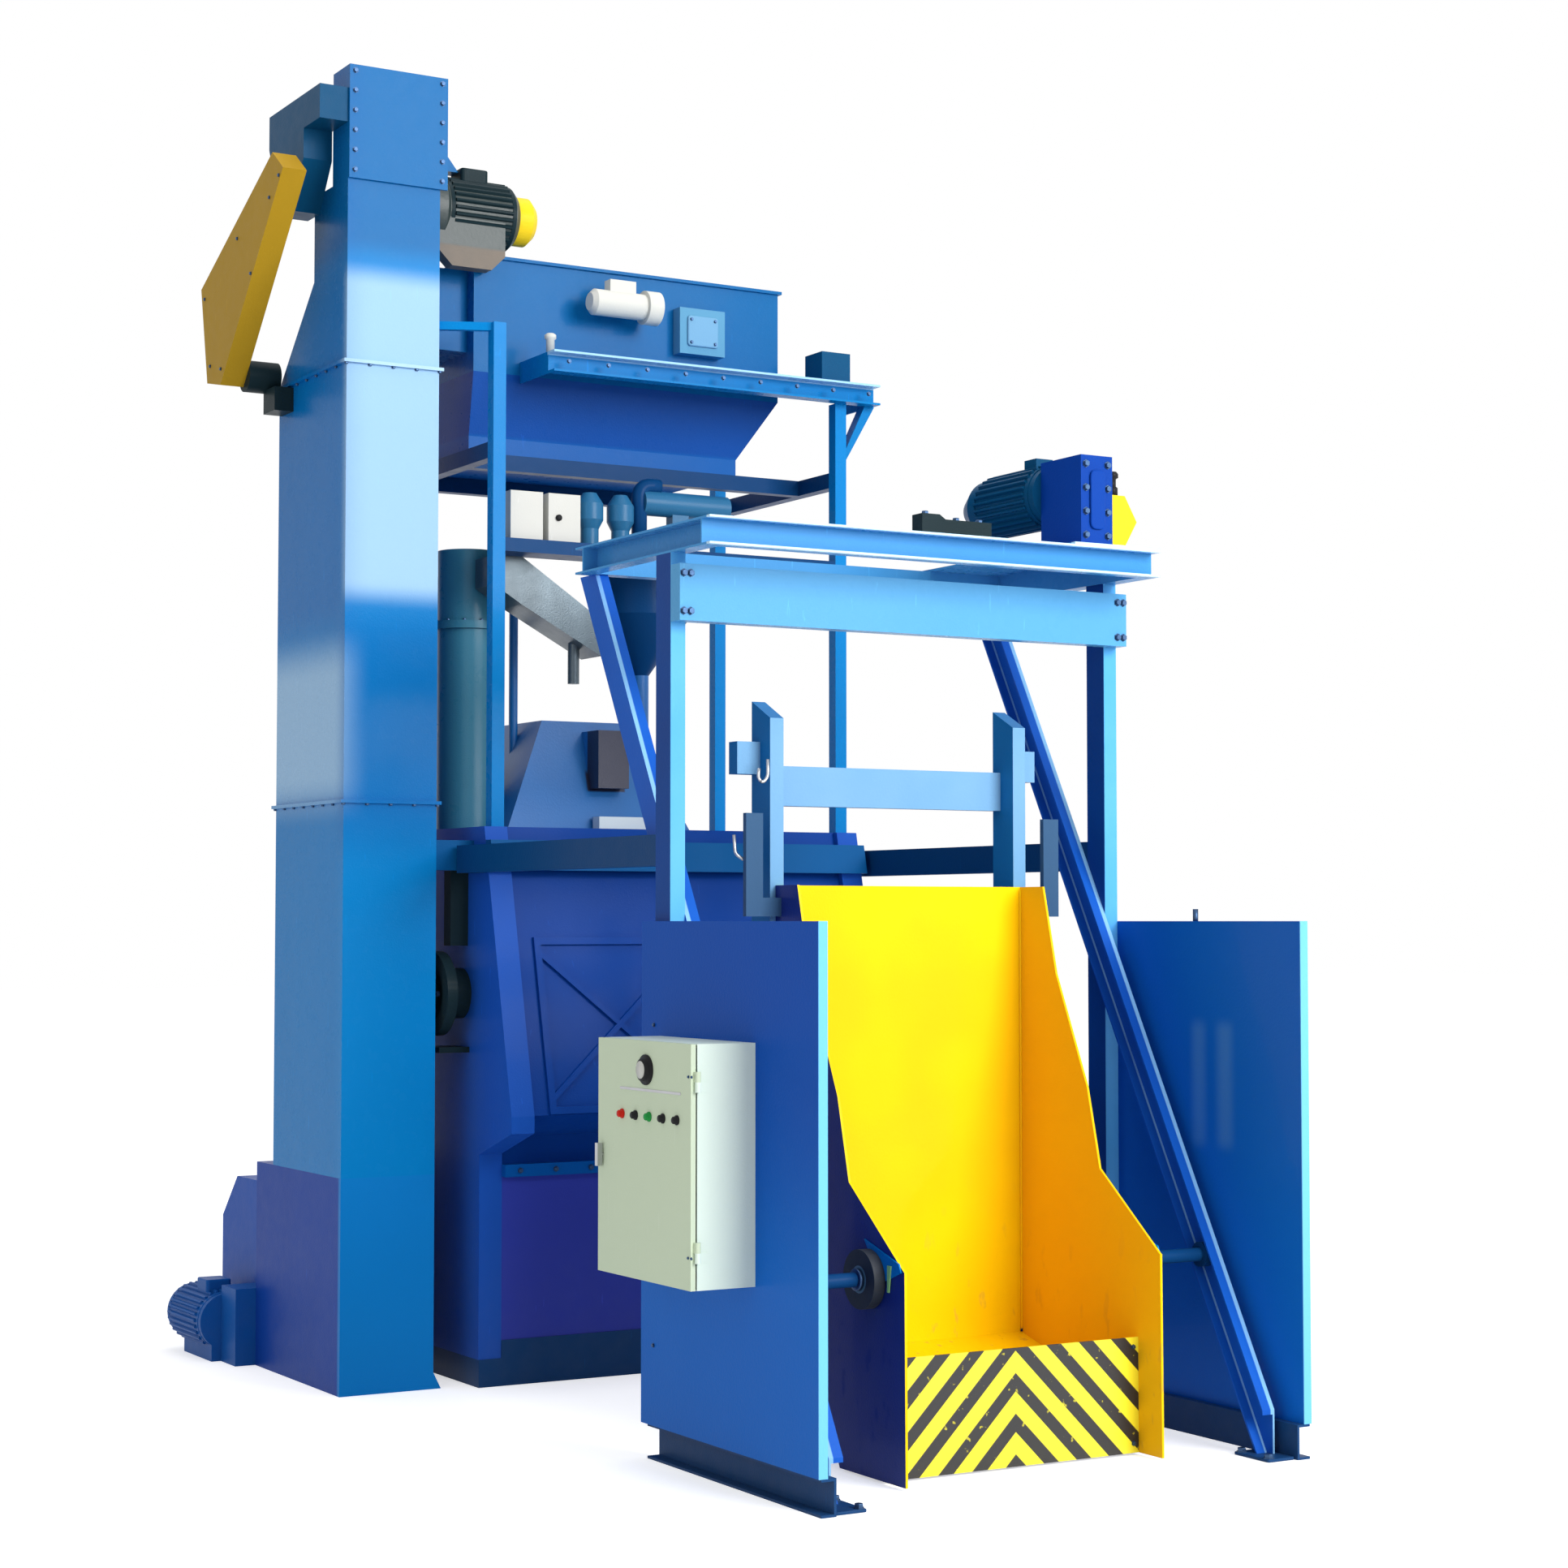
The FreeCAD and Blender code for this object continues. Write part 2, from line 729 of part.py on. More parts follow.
def buildBootDrive():
    """Return housing behind the boot and the motor that drives its lower pulley."""
    rear = f"({elevatorFront} + bootDepth)"
    tail = extrusion("BootTail", "YZ", [
        (rear, "0"),
        (f"{rear} + tailDepth", "0"),
        (f"{rear} + tailDepth", "tailHeight - tailChamfer"),
        (f"{rear} + tailDepth - tailChamfer", "tailHeight"),
        (rear, "tailHeight"),
    ], f"{elevatorLeft} + tailInset", "elevatorWidth - tailInset")
    node("boot_tail", tail)
    gearX = f"({elevatorLeft} + tailInset - bootGearWidth)"
    gear = box("BootGear", (gearX, rear, 0), ("bootGearWidth", "bootGearDepth", "bootGearHeight"))
    motor = turned(
        "BootMotor", motorOutline("bootMotorRadius", "bootMotorLength", "bootMotorRadius / 3"),
        (
            f"{gearX} + bootGearWidth - bootMotorRadius - tailInset / 3", f"{rear} + bootGearDepth",
            "bootMotorLevel"
        ),
        "Y"
    )
    sole = box(
        "BootMotorSole", (f"{gearX} - bootGearWidth / 4", f"{rear} + bootGearDepth", 0),
        ("bootGearWidth", "bootMotorLength * 3 / 4", "bootMotorLevel / 2")
    )
    node("boot_motor", joined("BootDrive", gear, motor, sole))


def motorOutline(radius, length, bevel):
    """Half section of a motor: a barrel from height 0 with a bevelled fan end."""
    return [
        ("0", "0"), (radius, "0"), (radius, f"{length} - ({bevel})"), (f"{radius} - ({bevel})", length),
        ("0", length)
    ]


def buildHeadDrive():
    """Bearing bracket, belt guard and belt motor on the elevator's outer side."""
    y = elevatorFront
    low = f"({headSeam} + bearingArmLevel)"
    high = f"({low} + bearingArmHeight)"
    bracket = extrusion("BearingBracket", "YZ", [
        (y, low),
        (f"{y} + bearingLobeStart", low),
        (f"{y} + bearingLobeStart", f"{high} - bearingLobeWaist"),
        (f"{y} + (bearingLobeStart + bearingLobeEnd) / 2", f"{high} - bearingLobeDrop"),
        (f"{y} + bearingLobeEnd", f"{high} - bearingLobeDrop"),
        (f"{y} + bearingArmDepth", low),
        (f"{y} + bearingArmDepth", high),
        (y, high),
    ], f"{elevatorLeft} - bearingReach", "bearingReach")
    shaft = rod(
        "HeadShaft",
        (
            f"{elevatorLeft} - beltGuardStand", f"{y} + shaftBehind",
            f"{high} - bearingLobeDrop + shaftRadius"
        ),
        "X", "shaftRadius", "beltGuardStand"
    )
    node("head_bearing", joined("HeadBearing", bracket, shaft))
    guard = extrusion("BeltGuard", "YZ", [
        (f"{y} + beltGuardTopFront", f"{upperSeam} + beltGuardFrontRise"),
        (f"{y} + beltGuardBottomFront", f"{upperSeam} - beltGuardDip"),
        (f"{y} + beltGuardBottomRear", f"{upperSeam} + beltGuardLowRise"),
        (f"{y} + beltGuardRear", f"{upperSeam} + beltGuardRearRise"),
        (f"{y} + beltGuardTopRear", f"{upperSeam} + beltGuardTopRise"),
    ], f"{elevatorLeft} - beltGuardStand - beltGuardThickness", "beltGuardThickness")
    node("belt_guard", guard)
    motor = rod(
        "BeltMotor",
        (f"{elevatorLeft} - beltGuardStand", f"{y} + beltMotorBehind", f"{upperSeam} + beltMotorRise"), "X",
        "beltMotorRadius", "beltGuardStand - beltMotorGap"
    )
    arm = box(
        "BeltMotorArm",
        (
            f"{elevatorLeft} - beltGuardStand / 2", f"{y} + beltMotorBehind - beltBracketDepth",
            f"{upperSeam} - beltBracketDrop"
        ),
        ("beltGuardStand / 2", "beltBracketDepth", "beltBracketHeight")
    )
    node("belt_motor", joined("BeltMotorWithArm", motor, arm))


def buildGearMotor():
    """Gear motor on the elevator head's inner side."""
    y = f"({elevatorFront} + gearMotorBehind)"
    motor = turned(
        "HeadMotor",
        [
            ("0", "0"), ("gearboxRadius", "0"), ("gearboxRadius", "gearboxLength"),
            ("gearMotorRadius", "gearboxLength + gearMotorTaper"),
            ("gearMotorRadius", "gearMotorLength - gearMotorTaper"),
            ("gearMotorRadius - gearMotorTaper", "gearMotorLength"), ("0", "gearMotorLength")
        ],
        (elevatorRight, y, "gearMotorLevel"), "X"
    )
    casingX = f"({elevatorRight} + gearCasingStart)"
    low = "(gearMotorLevel - gearCasingDrop)"
    gear = extrusion("GearCasing", "XZ", [
        (f"{casingX} + gearCasingTaper", low),
        (f"{casingX} + gearCasingLength - gearCasingTaper", low),
        (f"{casingX} + gearCasingLength", f"{low} + gearCasingTaper"),
        (f"{casingX} + gearCasingLength", "gearMotorLevel"),
        (casingX, "gearMotorLevel"),
        (casingX, f"{low} + gearCasingTaper"),
    ], f"{y} - gearMotorRadius + gearCasingInset", "gearCasingWidth")
    node("head_gear_motor", joined("HeadGearMotor", motor, gear))
    cap = turned("FanCap", motorOutline("fanCapRadius", "fanCapLength", "fanCapBevel"),
                 (f"{elevatorRight} + gearMotorLength", y, "gearMotorLevel"), "X")
    node("head_fan_cap", cap)


def buildTower():
    left = f"(-{postOuter})"
    right = f"({postOuter} - postSize)"
    rear = f"({back} - postRearInset - postSize)"
    railTop = "(handrailLevel + handrailSize)"
    tops = (("FrontLeft", left, postFront, railTop), ("FrontRight", right, postFront, "platformLevel"),
            ("RearLeft", left, rear, funnelLevel), ("RearRight", right, rear, funnelLevel))
    posts = [
        box("Post" + name, (x, y, "chamberTop"), ("postSize", "postSize", f"{top} - chamberTop")) for name,
        x, y, top in tops
    ]
    inside = f"(2 * {postOuter} - 2 * postSize)"
    between = f"({rear} - {postFront} - postSize)"
    level = "(funnelOutletLevel - towerBeamHeight)"
    beams = [
        box(
            "SideBeamLeft", (left, f"{postFront} + postSize", level),
            ("postSize", between, "towerBeamHeight")
        ),
        box(
            "SideBeamRight", (right, f"{postFront} + postSize", level),
            ("postSize", between, "towerBeamHeight")
        ),
        box(
            "CrossBeamFront", (f"{left} + postSize", f"{separatorFront} + funnelFrontTaper", level),
            (inside, "postSize", "towerBeamHeight")
        ),
        box(
            "CrossBeamRear", (f"{left} + postSize", f"{separatorFront} + separatorDepth - postSize", level),
            (inside, "postSize", "towerBeamHeight")
        )
    ]
    shelf = box(
        "ValveShelf", (f"{left} + postSize", postFront, "valveShelfLevel"),
        (inside, "valveShelfDepth", "valveShelfHeight")
    )
    node("tower_beams", group("TowerBeams", joined("TowerRing", *beams), shelf))
    rail = extrusion("Handrail", "XY", [
        (left, f"{postFront} + postSize - handrailSize"),
        (left, f"{postFront} + postSize"),
        (elevatorRight, f"{elevatorFront} + 2 * handrailSize"),
        (elevatorRight, f"{elevatorFront} + handrailSize"),
    ], "handrailLevel", "handrailSize")
    node("tower_posts", group("TowerPosts", joined("PostWithHandrail", posts[0], rail), *posts[1:]))


def buildValves():
    """Control boxes, valve bodies and an actuator on the shelf under the funnel."""
    x0 = f"(-{postOuter} + postSize)"
    y = f"({postFront} + postSize)"
    level = "(valveShelfLevel + valveShelfHeight)"
    boxes = [box("ValveBox%d" % number, (f"{x0} + valveBoxStart + {number} * valveBoxPitch", y, level),
                 ("valveBoxWidth", "valveBoxDepth", "valveBoxHeight")) for number in range(2)]
    left = f"(-{halfWidth} + separatorLeftInset)"
    boxes.append(
        box(
            "InspectionBox",
            (f"{left} + inspectionStart", f"{separatorFront} - inspectionDepth", "inspectionLevel"),
            ("inspectionWidth", "inspectionDepth", "inspectionHeight")
        )
    )
    node("control_boxes", group("ControlBoxes", *boxes))
    valves = [
        turned(
            "Valve%d" % number,
            [
                ("0", "0"), ("valveBodyRadius * 2 / 3", "0"),
                ("valveBodyRadius * 2 / 3", "valveBodyHeight / 3"),
                ("valveBodyRadius", "valveBodyHeight / 2"), ("valveBodyRadius", "valveBodyHeight * 4 / 5"),
                ("valveBodyRadius / 2", "valveBodyHeight"), ("0", "valveBodyHeight")
            ],
            (f"{x0} + valveBodyStart + {number} * valveBodyPitch", f"{y} + valveBodyRadius", level), "Z"
        ) for number in range(2)
    ]
    barrel = rod(
        "Actuator", (f"{x0} + actuatorStart", f"{y} + valveBodyRadius", f"{level} + actuatorRise"), "X",
        "actuatorRadius", "actuatorLength"
    )
    saddle = box(
        "ActuatorSaddle",
        (f"{x0} + actuatorStart + actuatorLength / 3", f"{y} + valveBodyRadius / 2", level),
        ("saddleWidth", "valveBodyRadius", "actuatorRise")
    )
    node("tower_valves", group("TowerValves", *valves, joined("ValveActuator", barrel, saddle)))


def buildPlatform():
    y0 = f"({postFront} - platformFrontReach)"
    left = f"(-{halfWidth} + platformLeftInset)"
    right = f"({halfWidth} + platformRightReach)"
    top = "(platformLevel + platformHeight)"
    run = f"{separatorFront} - {y0} - platformFlange"
    frontRail = extrusion(
        "PlatformFrontRail", "YZ",
        channel(y0, "platformLevel", f"({y0} + platformFlange)", top, "plateThickness", "low"), left,
        f"{right} - {left}"
    )
    deck = box(
        "PlatformDeck", (left, f"{y0} + platformFlange", f"{top} - plateThickness"),
        (f"{right} - {left}", run, "plateThickness")
    )
    ends = [
        box(
            "PlatformEnd%d" % number, (x, f"{y0} + platformFlange", "platformLevel"),
            ("plateThickness", run, "platformHeight - plateThickness")
        ) for number,
        x in enumerate((left, f"{right} - plateThickness"))
    ]
    brace = extrusion("PlatformBrace", "XZ", [
        (postOuter, "platformLevel - braceDrop"),
        (postOuter, "platformLevel - braceDrop + braceThickness"),
        (f"{postOuter} + braceReach - braceThickness", "platformLevel"),
        (f"{postOuter} + braceReach", "platformLevel"),
    ], f"{postFront}", "postSize")
    node("platform", joined("Platform", frontRail, deck, brace, *ends))
    node(
        "platform_box",
        box(
            "PlatformBox",
            (f"{right} - platformBoxInset - platformBoxSize", f"{y0} + platformBoxBehind", top),
            ("platformBoxSize", "platformBoxSize", "platformBoxSize")
        )
    )


def buildSeparator():
    left = f"(-{halfWidth} + separatorLeftInset)"
    right = f"({halfWidth} - separatorRightInset)"
    rear = f"({separatorFront} + separatorDepth)"
    top = f"({funnelLevel} + separatorHeight)"
    shell = box(
        "SeparatorShell", (left, separatorFront, funnelLevel),
        (f"{right} - {left}", "separatorDepth", "separatorHeight")
    )
    lip = box("SeparatorLip", (left, f"{separatorFront} - separatorLip", f"{top} - separatorLip"),
              (f"{right} + separatorLip - {left}", "separatorDepth + 2 * separatorLip", "separatorLip"))
    outlet = rectangle(
        left, f"({separatorFront} + funnelFrontTaper)", f"({right} - funnelRightTaper)", rear
    )
    funnel = lofted("SeparatorFunnel", "XY", [
        (funnelLevel, rectangle(left, separatorFront, right, rear)),
        ("(funnelOutletLevel + funnelCollar)", outlet),
        ("funnelOutletLevel", outlet),
    ])
    node("separator_funnel", funnel)
    chute = box(
        "TransferChute", (elevatorRight, f"{elevatorFront} + chuteInset", "chuteLow"),
        (f"{left} - {elevatorRight}", "chuteDepth", "chuteHeight")
    )
    node("separator_box", joined("SeparatorBox", shell, lip, chute))
    y = f"({separatorFront} - sepMountDepth - sepMotorRadius)"
    motorX = f"({left} + sepMotorStart)"
    motor = turned(
        "VibratorMotor",
        [
            ("0", "0"), ("sepMotorRadius * 2 / 3", "0"), ("sepMotorRadius", "sepMotorRadius / 3"),
            ("sepMotorRadius", "sepMotorLength"), ("sepFlangeRadius", "sepMotorLength"),
            ("sepFlangeRadius", "sepMotorLength + sepFlangeLength"),
            ("0", "sepMotorLength + sepFlangeLength")
        ],
        (motorX, y, "sepMotorLevel"), "X"
    )
    mount = box(
        "VibratorMount", (f"{motorX} + sepMotorLength / 3", y, "sepMotorLevel - sepMotorRadius / 2"),
        ("sepMotorLength / 2", "sepMountDepth + sepMotorRadius", "sepMotorRadius")
    )
    terminal = box(
        "VibratorTerminal",
        (f"{motorX} + sepMotorLength / 3", f"{y} - sepMotorRadius / 2", "sepMotorLevel"),
        ("sepTerminalWidth", "sepMotorRadius", "sepTerminalHeight")
    )
    node("separator_motor", joined("SeparatorMotor", motor, mount, terminal))


def buildWheelHead():
    """Blast wheel housing, hopper, duct, pipe and trough on the chamber's top."""
    left = f"(-{halfWidth} + housingLeftInset)"
    right = f"({halfWidth} - housingRightInset)"
    y0 = f"({front} + housingInset)"
    y1 = f"({front} + housingInset + housingDepth)"
    top = "(chamberTop + housingHeight)"
    housing = lofted(
        "WheelHousing", "XY",
        [
            ("chamberTop", rectangle(left, y0, right, y1)),
            (
                top,
                rectangle(
                    f"({left} + housingTaper)", f"({y0} + housingFrontTaper)", f"({right} - housingTaper)",
                    f"({y1} - housingFrontTaper)"
                )
            )
        ]
    )
    hopperX = f"({left} + hopperOffset)"
    hopperY = f"({front} + hopperBehind)"
    hopperLow = "(chamberTop + hopperPipeHeight)"
    feed = rod("FeedPipe", (hopperX, hopperY, "chamberTop"), "Z", "hopperPipeRadius", "hopperPipeHeight")
    cover = box(
        "WheelBox", (f"{left} + wheelBoxStart", f"{y0} - wheelBoxProud", "chamberTop + wheelBoxLevel"),
        ("wheelBoxWidth", "wheelBoxProud + housingFrontTaper", "wheelBoxHeight")
    )
    trim = box("TrimBox", (f"{left} + trimBoxStart", f"{y0} - trimBoxDepth", "chamberTop"),
               ("trimBoxWidth", "trimBoxDepth", "trimBoxHeight"))
    hopper = turned("ShotHopper", [
        ("0", "0"), ("hopperPipeRadius", "0"), ("hopperRadius", "hopperConeHeight"),
        ("hopperRadius", "hopperConeHeight + hopperHeight"), ("0", "hopperConeHeight + hopperHeight"),
    ], (hopperX, hopperY, hopperLow), "Z")
    node("shot_hopper", hopper)
    duct = turned("VentDuct", [
        ("0", "0"), ("ductRadius", "0"), ("ductRadius", "ductHeight - ductRingDrop"),
        ("ductRadius + ductRingProud", "ductHeight - ductRingDrop"),
        ("ductRadius + ductRingProud", "ductHeight - ductRingDrop + ductRingHeight"),
        ("ductRadius", "ductHeight - ductRingDrop + ductRingHeight"),
        ("ductRadius", "ductHeight"), ("0", "ductHeight"),
    ], (f"-{halfWidth} + ductInset", hopperY, "chamberTop"), "Z")
    node("vent_duct", cut("VentDuctTrimmed", duct, housing))
    pipeX = f"(-{halfWidth} + housingLeftInset - sprayPipeRadius / 2 + sprayPipeInset)"
    pipe = rod(
        "SprayPipe", (pipeX, f"{y0} + housingDepth / 2", "chamberTop"), "Z", "sprayPipeRadius",
        "sprayPipeHeight"
    )
    node("blast_wheel_housing", joined("HousingWithPipes", housing, feed, cover, trim, pipe))
    buildTrough()


def buildTrough():
    """Leaning chute that hangs from the valve shelf, with a short spout."""
    x0 = f"(-{postOuter} + postSize + troughLeft)"
    y = f"({postFront} + valveShelfDepth - troughFrontGap * 4)"
    top = "valveShelfLevel"
    trough = extrusion("Trough", "XZ", [
        (x0, f"{top} - troughSide"),
        (f"({x0} + troughCrest)", f"{top} - troughBelly"),
        (f"({x0} + troughRun)", f"{top} - troughFall - troughSide / 4"),
        (f"({x0} + troughRun)", f"{top} - troughFall + troughSide"),
        (f"({x0} + troughCrest)", top),
        (x0, top),
    ], y, "troughDepth")
    spout = rod(
        "Spout",
        (f"{x0} + troughRun - spoutInset", f"{y} + troughDepth / 2", f"{top} - troughFall - spoutLength"),
        "Z", "spoutRadius", "spoutLength + troughSide / 2"
    )
    node("feed_trough", joined("FeedTrough", trough, spout))


def buildGuards():
    left = box(
        "LeftGuard", (f"-{guardHalf}", loader, "guardBottom"),
        ("guardThickness", "guardDepth", "guardTop - guardBottom")
    )
    right = box("RightGuard", (f"{guardHalf} - guardThickness", loader, "guardBottom"),
                ("guardThickness", "guardDepth", "guardTop - guardBottom"))
    node("side_guards", group("SideGuards", left, right))
    foot = f"({guardHalf} - footInset)"
    leftFoot = extrusion(
        "LeftFoot", "XZ",
        channel(f"-{foot}", "0", f"(footWidth - {foot})", "guardBottom", "footSheet", "low"), loader,
        "footDepth"
    )
    rightFoot = extrusion(
        "RightFoot", "XZ", channel(f"({foot} - footWidth)", "0", foot, "guardBottom", "footSheet", "high"),
        loader, "footDepth"
    )
    node("guard_feet", group("GuardFeet", leftFoot, rightFoot))


def buildGantry():
    y = f"({loader} + gantryFront)"
    size = ("gantryWidth", "gantryDepth", "trayLevel - guardBottom")
    posts = [box("GantryLeft", (f"-{gantryHalf}", y, "guardBottom"), size),
             box("GantryRight", (f"{gantryHalf} - gantryWidth", y, "guardBottom"), size)]
    node("gantry_posts", group("GantryPosts", *posts))
    node(
        "lintel",
        box(
            "Lintel", (f"-{gantryHalf}", f"{y} - lintelDepth", "trayLevel - lintelDrop"),
            (f"2 * {gantryHalf}", "lintelDepth", "lintelHeight")
        )
    )
    tieEnd = f"({elevatorFront} - tieGap)"
    footWidth = f"({railOuter} - {halfWidth})"
    ties = []
    for side, beamX, footX in (
        ("Left", f"-{gantryHalf}", f"-{railOuter}"), ("Right", railOuter, halfWidth)
    ):
        beam = box(
            "Tie" + side, (beamX, f"{y} + gantryDepth", "tieLevel"),
            ("gantryWidth", f"{tieEnd} - {y} - gantryDepth", "tieHeight")
        )
        foot = box(
            "TieFoot" + side, (footX, f"{tieEnd} - tieFootDepth", "tieLevel"),
            (footWidth, "tieFootDepth", "tieHeight")
        )
        ties.append(joined("TieWithFoot" + side, beam, foot))
    node("tie_beams", group("TieBeams", *ties))
    trayFrontY = f"({loader} + trayFront)"
    trayRearY = f"({loader} + trayRear)"
    high = "(trayLevel + trayHeight)"
    frontChannel = extrusion(
        "TrayFront", "YZ",
        channel(trayFrontY, "trayLevel", f"({trayFrontY} + traySection)", high, "trayWall", "low"),
        f"-{gantryHalf}", f"2 * {gantryHalf}"
    )
    rearChannel = extrusion(
        "TrayRear", "YZ",
        channel(f"({trayRearY} - traySection)", "trayLevel", trayRearY, high, "trayWall", "high"),
        f"-{gantryHalf}", f"2 * {gantryHalf}"
    )
    run = f"{trayRearY} - {trayFrontY} - 2 * traySection"
    leftChannel = extrusion(
        "TrayLeft", "XZ",
        channel(f"-{gantryHalf}", "trayLevel", f"(traySection - {gantryHalf})", high, "trayWall", "low"),
        f"{trayFrontY} + traySection", run
    )
    rightChannel = extrusion(
        "TrayRight", "XZ",
        channel(f"({gantryHalf} - traySection)", "trayLevel", gantryHalf, high, "trayWall", "high"),
        f"{trayFrontY} + traySection", run
    )
    deck = box(
        "HoistDeck", (f"{gantryHalf} - hoistDeckWidth", trayFrontY, high),
        ("hoistDeckWidth", f"{trayRearY} - {trayFrontY}", "plateThickness")
    )
    node("top_frame", joined("TopFrame", frontChannel, rearChannel, leftChannel, rightChannel, deck))
    buildHoist(trayFrontY, f"({high} + plateThickness)", high)


def buildHoist(trayFrontY, level, frameTop):
    """Hoist gearbox with its motor, coupling guard and shaft bearing on the top frame."""
    x1 = f"({gantryHalf} - hoistInset)"
    y = f"({trayFrontY} + hoistFront)"
    node(
        "hoist_gearbox",
        box("HoistGearbox", (f"{x1} - hoistWidth", y, level), ("hoistWidth", "hoistDepth", "hoistHeight"))
    )
    axisX = f"({x1} - hoistWidth / 2)"
    motor = turned(
        "HoistMotor",
        [
            ("0", "0"), ("hoistMotorRadius", "0"), ("hoistMotorRadius", "hoistMotorLength"),
            ("hoistCapRadius", "hoistMotorLength + hoistCapLength"),
            ("0", "hoistMotorLength + hoistCapLength")
        ],
        (axisX, f"{y} + hoistDepth", f"{level} + hoistMotorLevel"), "Y"
    )
    terminal = box(
        "HoistTerminal",
        (
            f"{axisX} - hoistTerminalSize / 2", f"{y} + hoistDepth + hoistTerminalSize",
            f"{level} + hoistMotorLevel"
        ),
        ("hoistTerminalSize", "hoistTerminalSize", "hoistMotorRadius + hoistTerminalSize / 2")
    )
    node("hoist_motor", joined("HoistMotorWithTerminal", motor, terminal))
    guard = extrusion(
        "CouplingGuard", "XZ",
        [
            (x1, level), (f"{x1} + couplingWidth - couplingSide", level),
            (f"{x1} + couplingWidth", f"({level}) + couplingHeight / 2"),
            (f"{x1} + couplingWidth - couplingSide", f"({level}) + couplingHeight"),
            (x1, f"({level}) + couplingHeight")
        ],
        y, "couplingDepth"
    )
    node("hoist_coupling_guard", guard)
    block = extrusion("BearingBlock", "XZ", [
        (f"{x1} - bearingBlockLeft", frameTop), (f"{x1} - bearingBlockLeft + bearingBlockWidth", frameTop),
        (f"{x1} - bearingBlockLeft + bearingBlockWidth", f"{frameTop} + bearingBlockHeight * 3 / 4"),
        (f"{x1} - bearingBlockLeft + bearingBlockWidth / 3", f"{frameTop} + bearingBlockHeight * 3 / 4"),
        (f"{x1} - bearingBlockLeft + bearingBlockWidth / 4", f"{frameTop} + bearingBlockHeight"),
        (f"{x1} - bearingBlockLeft", f"{frameTop} + bearingBlockHeight"),
    ], trayFrontY, "traySection")
    node("hoist_bearing", block)


def railPath(level):
    """Where the skip rollers' path stands at a level, from the loader's front plane."""
    return f"(railStart + railRun * ({level}) / railRise)"


def railOutline(low, high, start, end):
    """The rail's leaning band: low and high are square distances from the rollers' path."""
    lean = f"({railLength} / railRise)"

    def at(level, distance):
        return f"({loader} + {railPath(level)} - ({distance}) * {lean})"
    footFront = f"({loader} + railFootInset)"
    footLevel = f"((railFootInset - railStart + ({high}) * {lean}) * railRise / railRun)"
    return [
        (at(start, low), start), (footFront, start), (footFront, footLevel), (at(end, high), end),
        (at(end, low), end)
    ]


def buildRails():
    seat = "(rollerRadius + rollerSeat)"
    play = "(rollerRadius + rollerPlay)"
    rails = []
    for side, outer, pocketStart in (
        ("left", f"(-{railOuter})", f"(-{railOuter} + railWall)"),
        ("right", f"({railOuter} - railFlange)", f"({railOuter} - railFlange)")
    ):
        name = side.capitalize() + "Rail"
        web = extrusion(
            name + "Bar", "YZ",
            railOutline(f"-({seat} + railWall)", f"{play} + railWall", "0", "trayLevel"), outer,
            "railFlange"
        )
        pocket = extrusion(
            name + "Pocket", "YZ", railOutline(f"-{seat}", play, "-railWall", "trayLevel + railWall"),
            pocketStart, "railFlange - railWall"
        )
        rails.append(cut(name, web, pocket))
    node("rails", group("Rails", *rails))


def buildSkip():
    def at(text):
        return f"({loader} + {text})"
    wall = [
        (at("skipFront"), "skipClear"), (at("skipHeel"), "skipClear"),
        (at("skipHeelBend"), "skipHeelBendLevel"), (at("skipBack + skipWall"), "skipHeelRise"),
        (at("skipBack + skipWall"), "skipTop"), (at("skipLip"), "skipTop"),
        (at("skipBrow"), "skipBrowLevel"), (at("skipWaist"), "skipWaistLevel"),
        (at("skipThroat"), "skipThroatLevel"), (at("skipShoulder"), "skipShoulderLevel")
    ]
    left = extrusion("SkipLeftWall", "YZ", wall, "-skipWidth / 2", "skipWall")
    right = extrusion("SkipRightWall", "YZ", wall, "skipWidth / 2 - skipWall", "skipWall")
    plateBack = "(skipFront + stripePlateInset + skipWall)"
    shell = [
        (at(plateBack), "skipClear"), (at("skipHeel"), "skipClear"),
        (at("skipHeelBend"), "skipHeelBendLevel"), (at("skipBack + skipWall"), "skipHeelRise"),
        (at("skipBack + skipWall"), "skipTop"), (at("skipBack"), "skipTop"),
        (at("skipBack"), "skipHeelRise + skipWall"),
        (at("skipHeelBend - skipWall"), "skipHeelBendLevel + skipWall"),
        (at("skipHeel - skipWall"), "skipClear + skipWall"), (at(plateBack), "skipClear + skipWall")
    ]
    liner = extrusion("SkipLiner", "YZ", shell, "-skipWidth / 2 + skipWall", "skipWidth - 2 * skipWall")
    node("skip_bucket", joined("SkipBucket", left, right, liner))
    node(
        "skip_front_plate",
        box(
            "FrontPlate", ("-skipWidth / 2 + skipWall", at("skipFront + stripePlateInset"), "skipClear"),
            ("skipWidth - 2 * skipWall", "skipWall", "stripePlateTop - skipClear")
        )
    )
    buildSkipFrame(at)


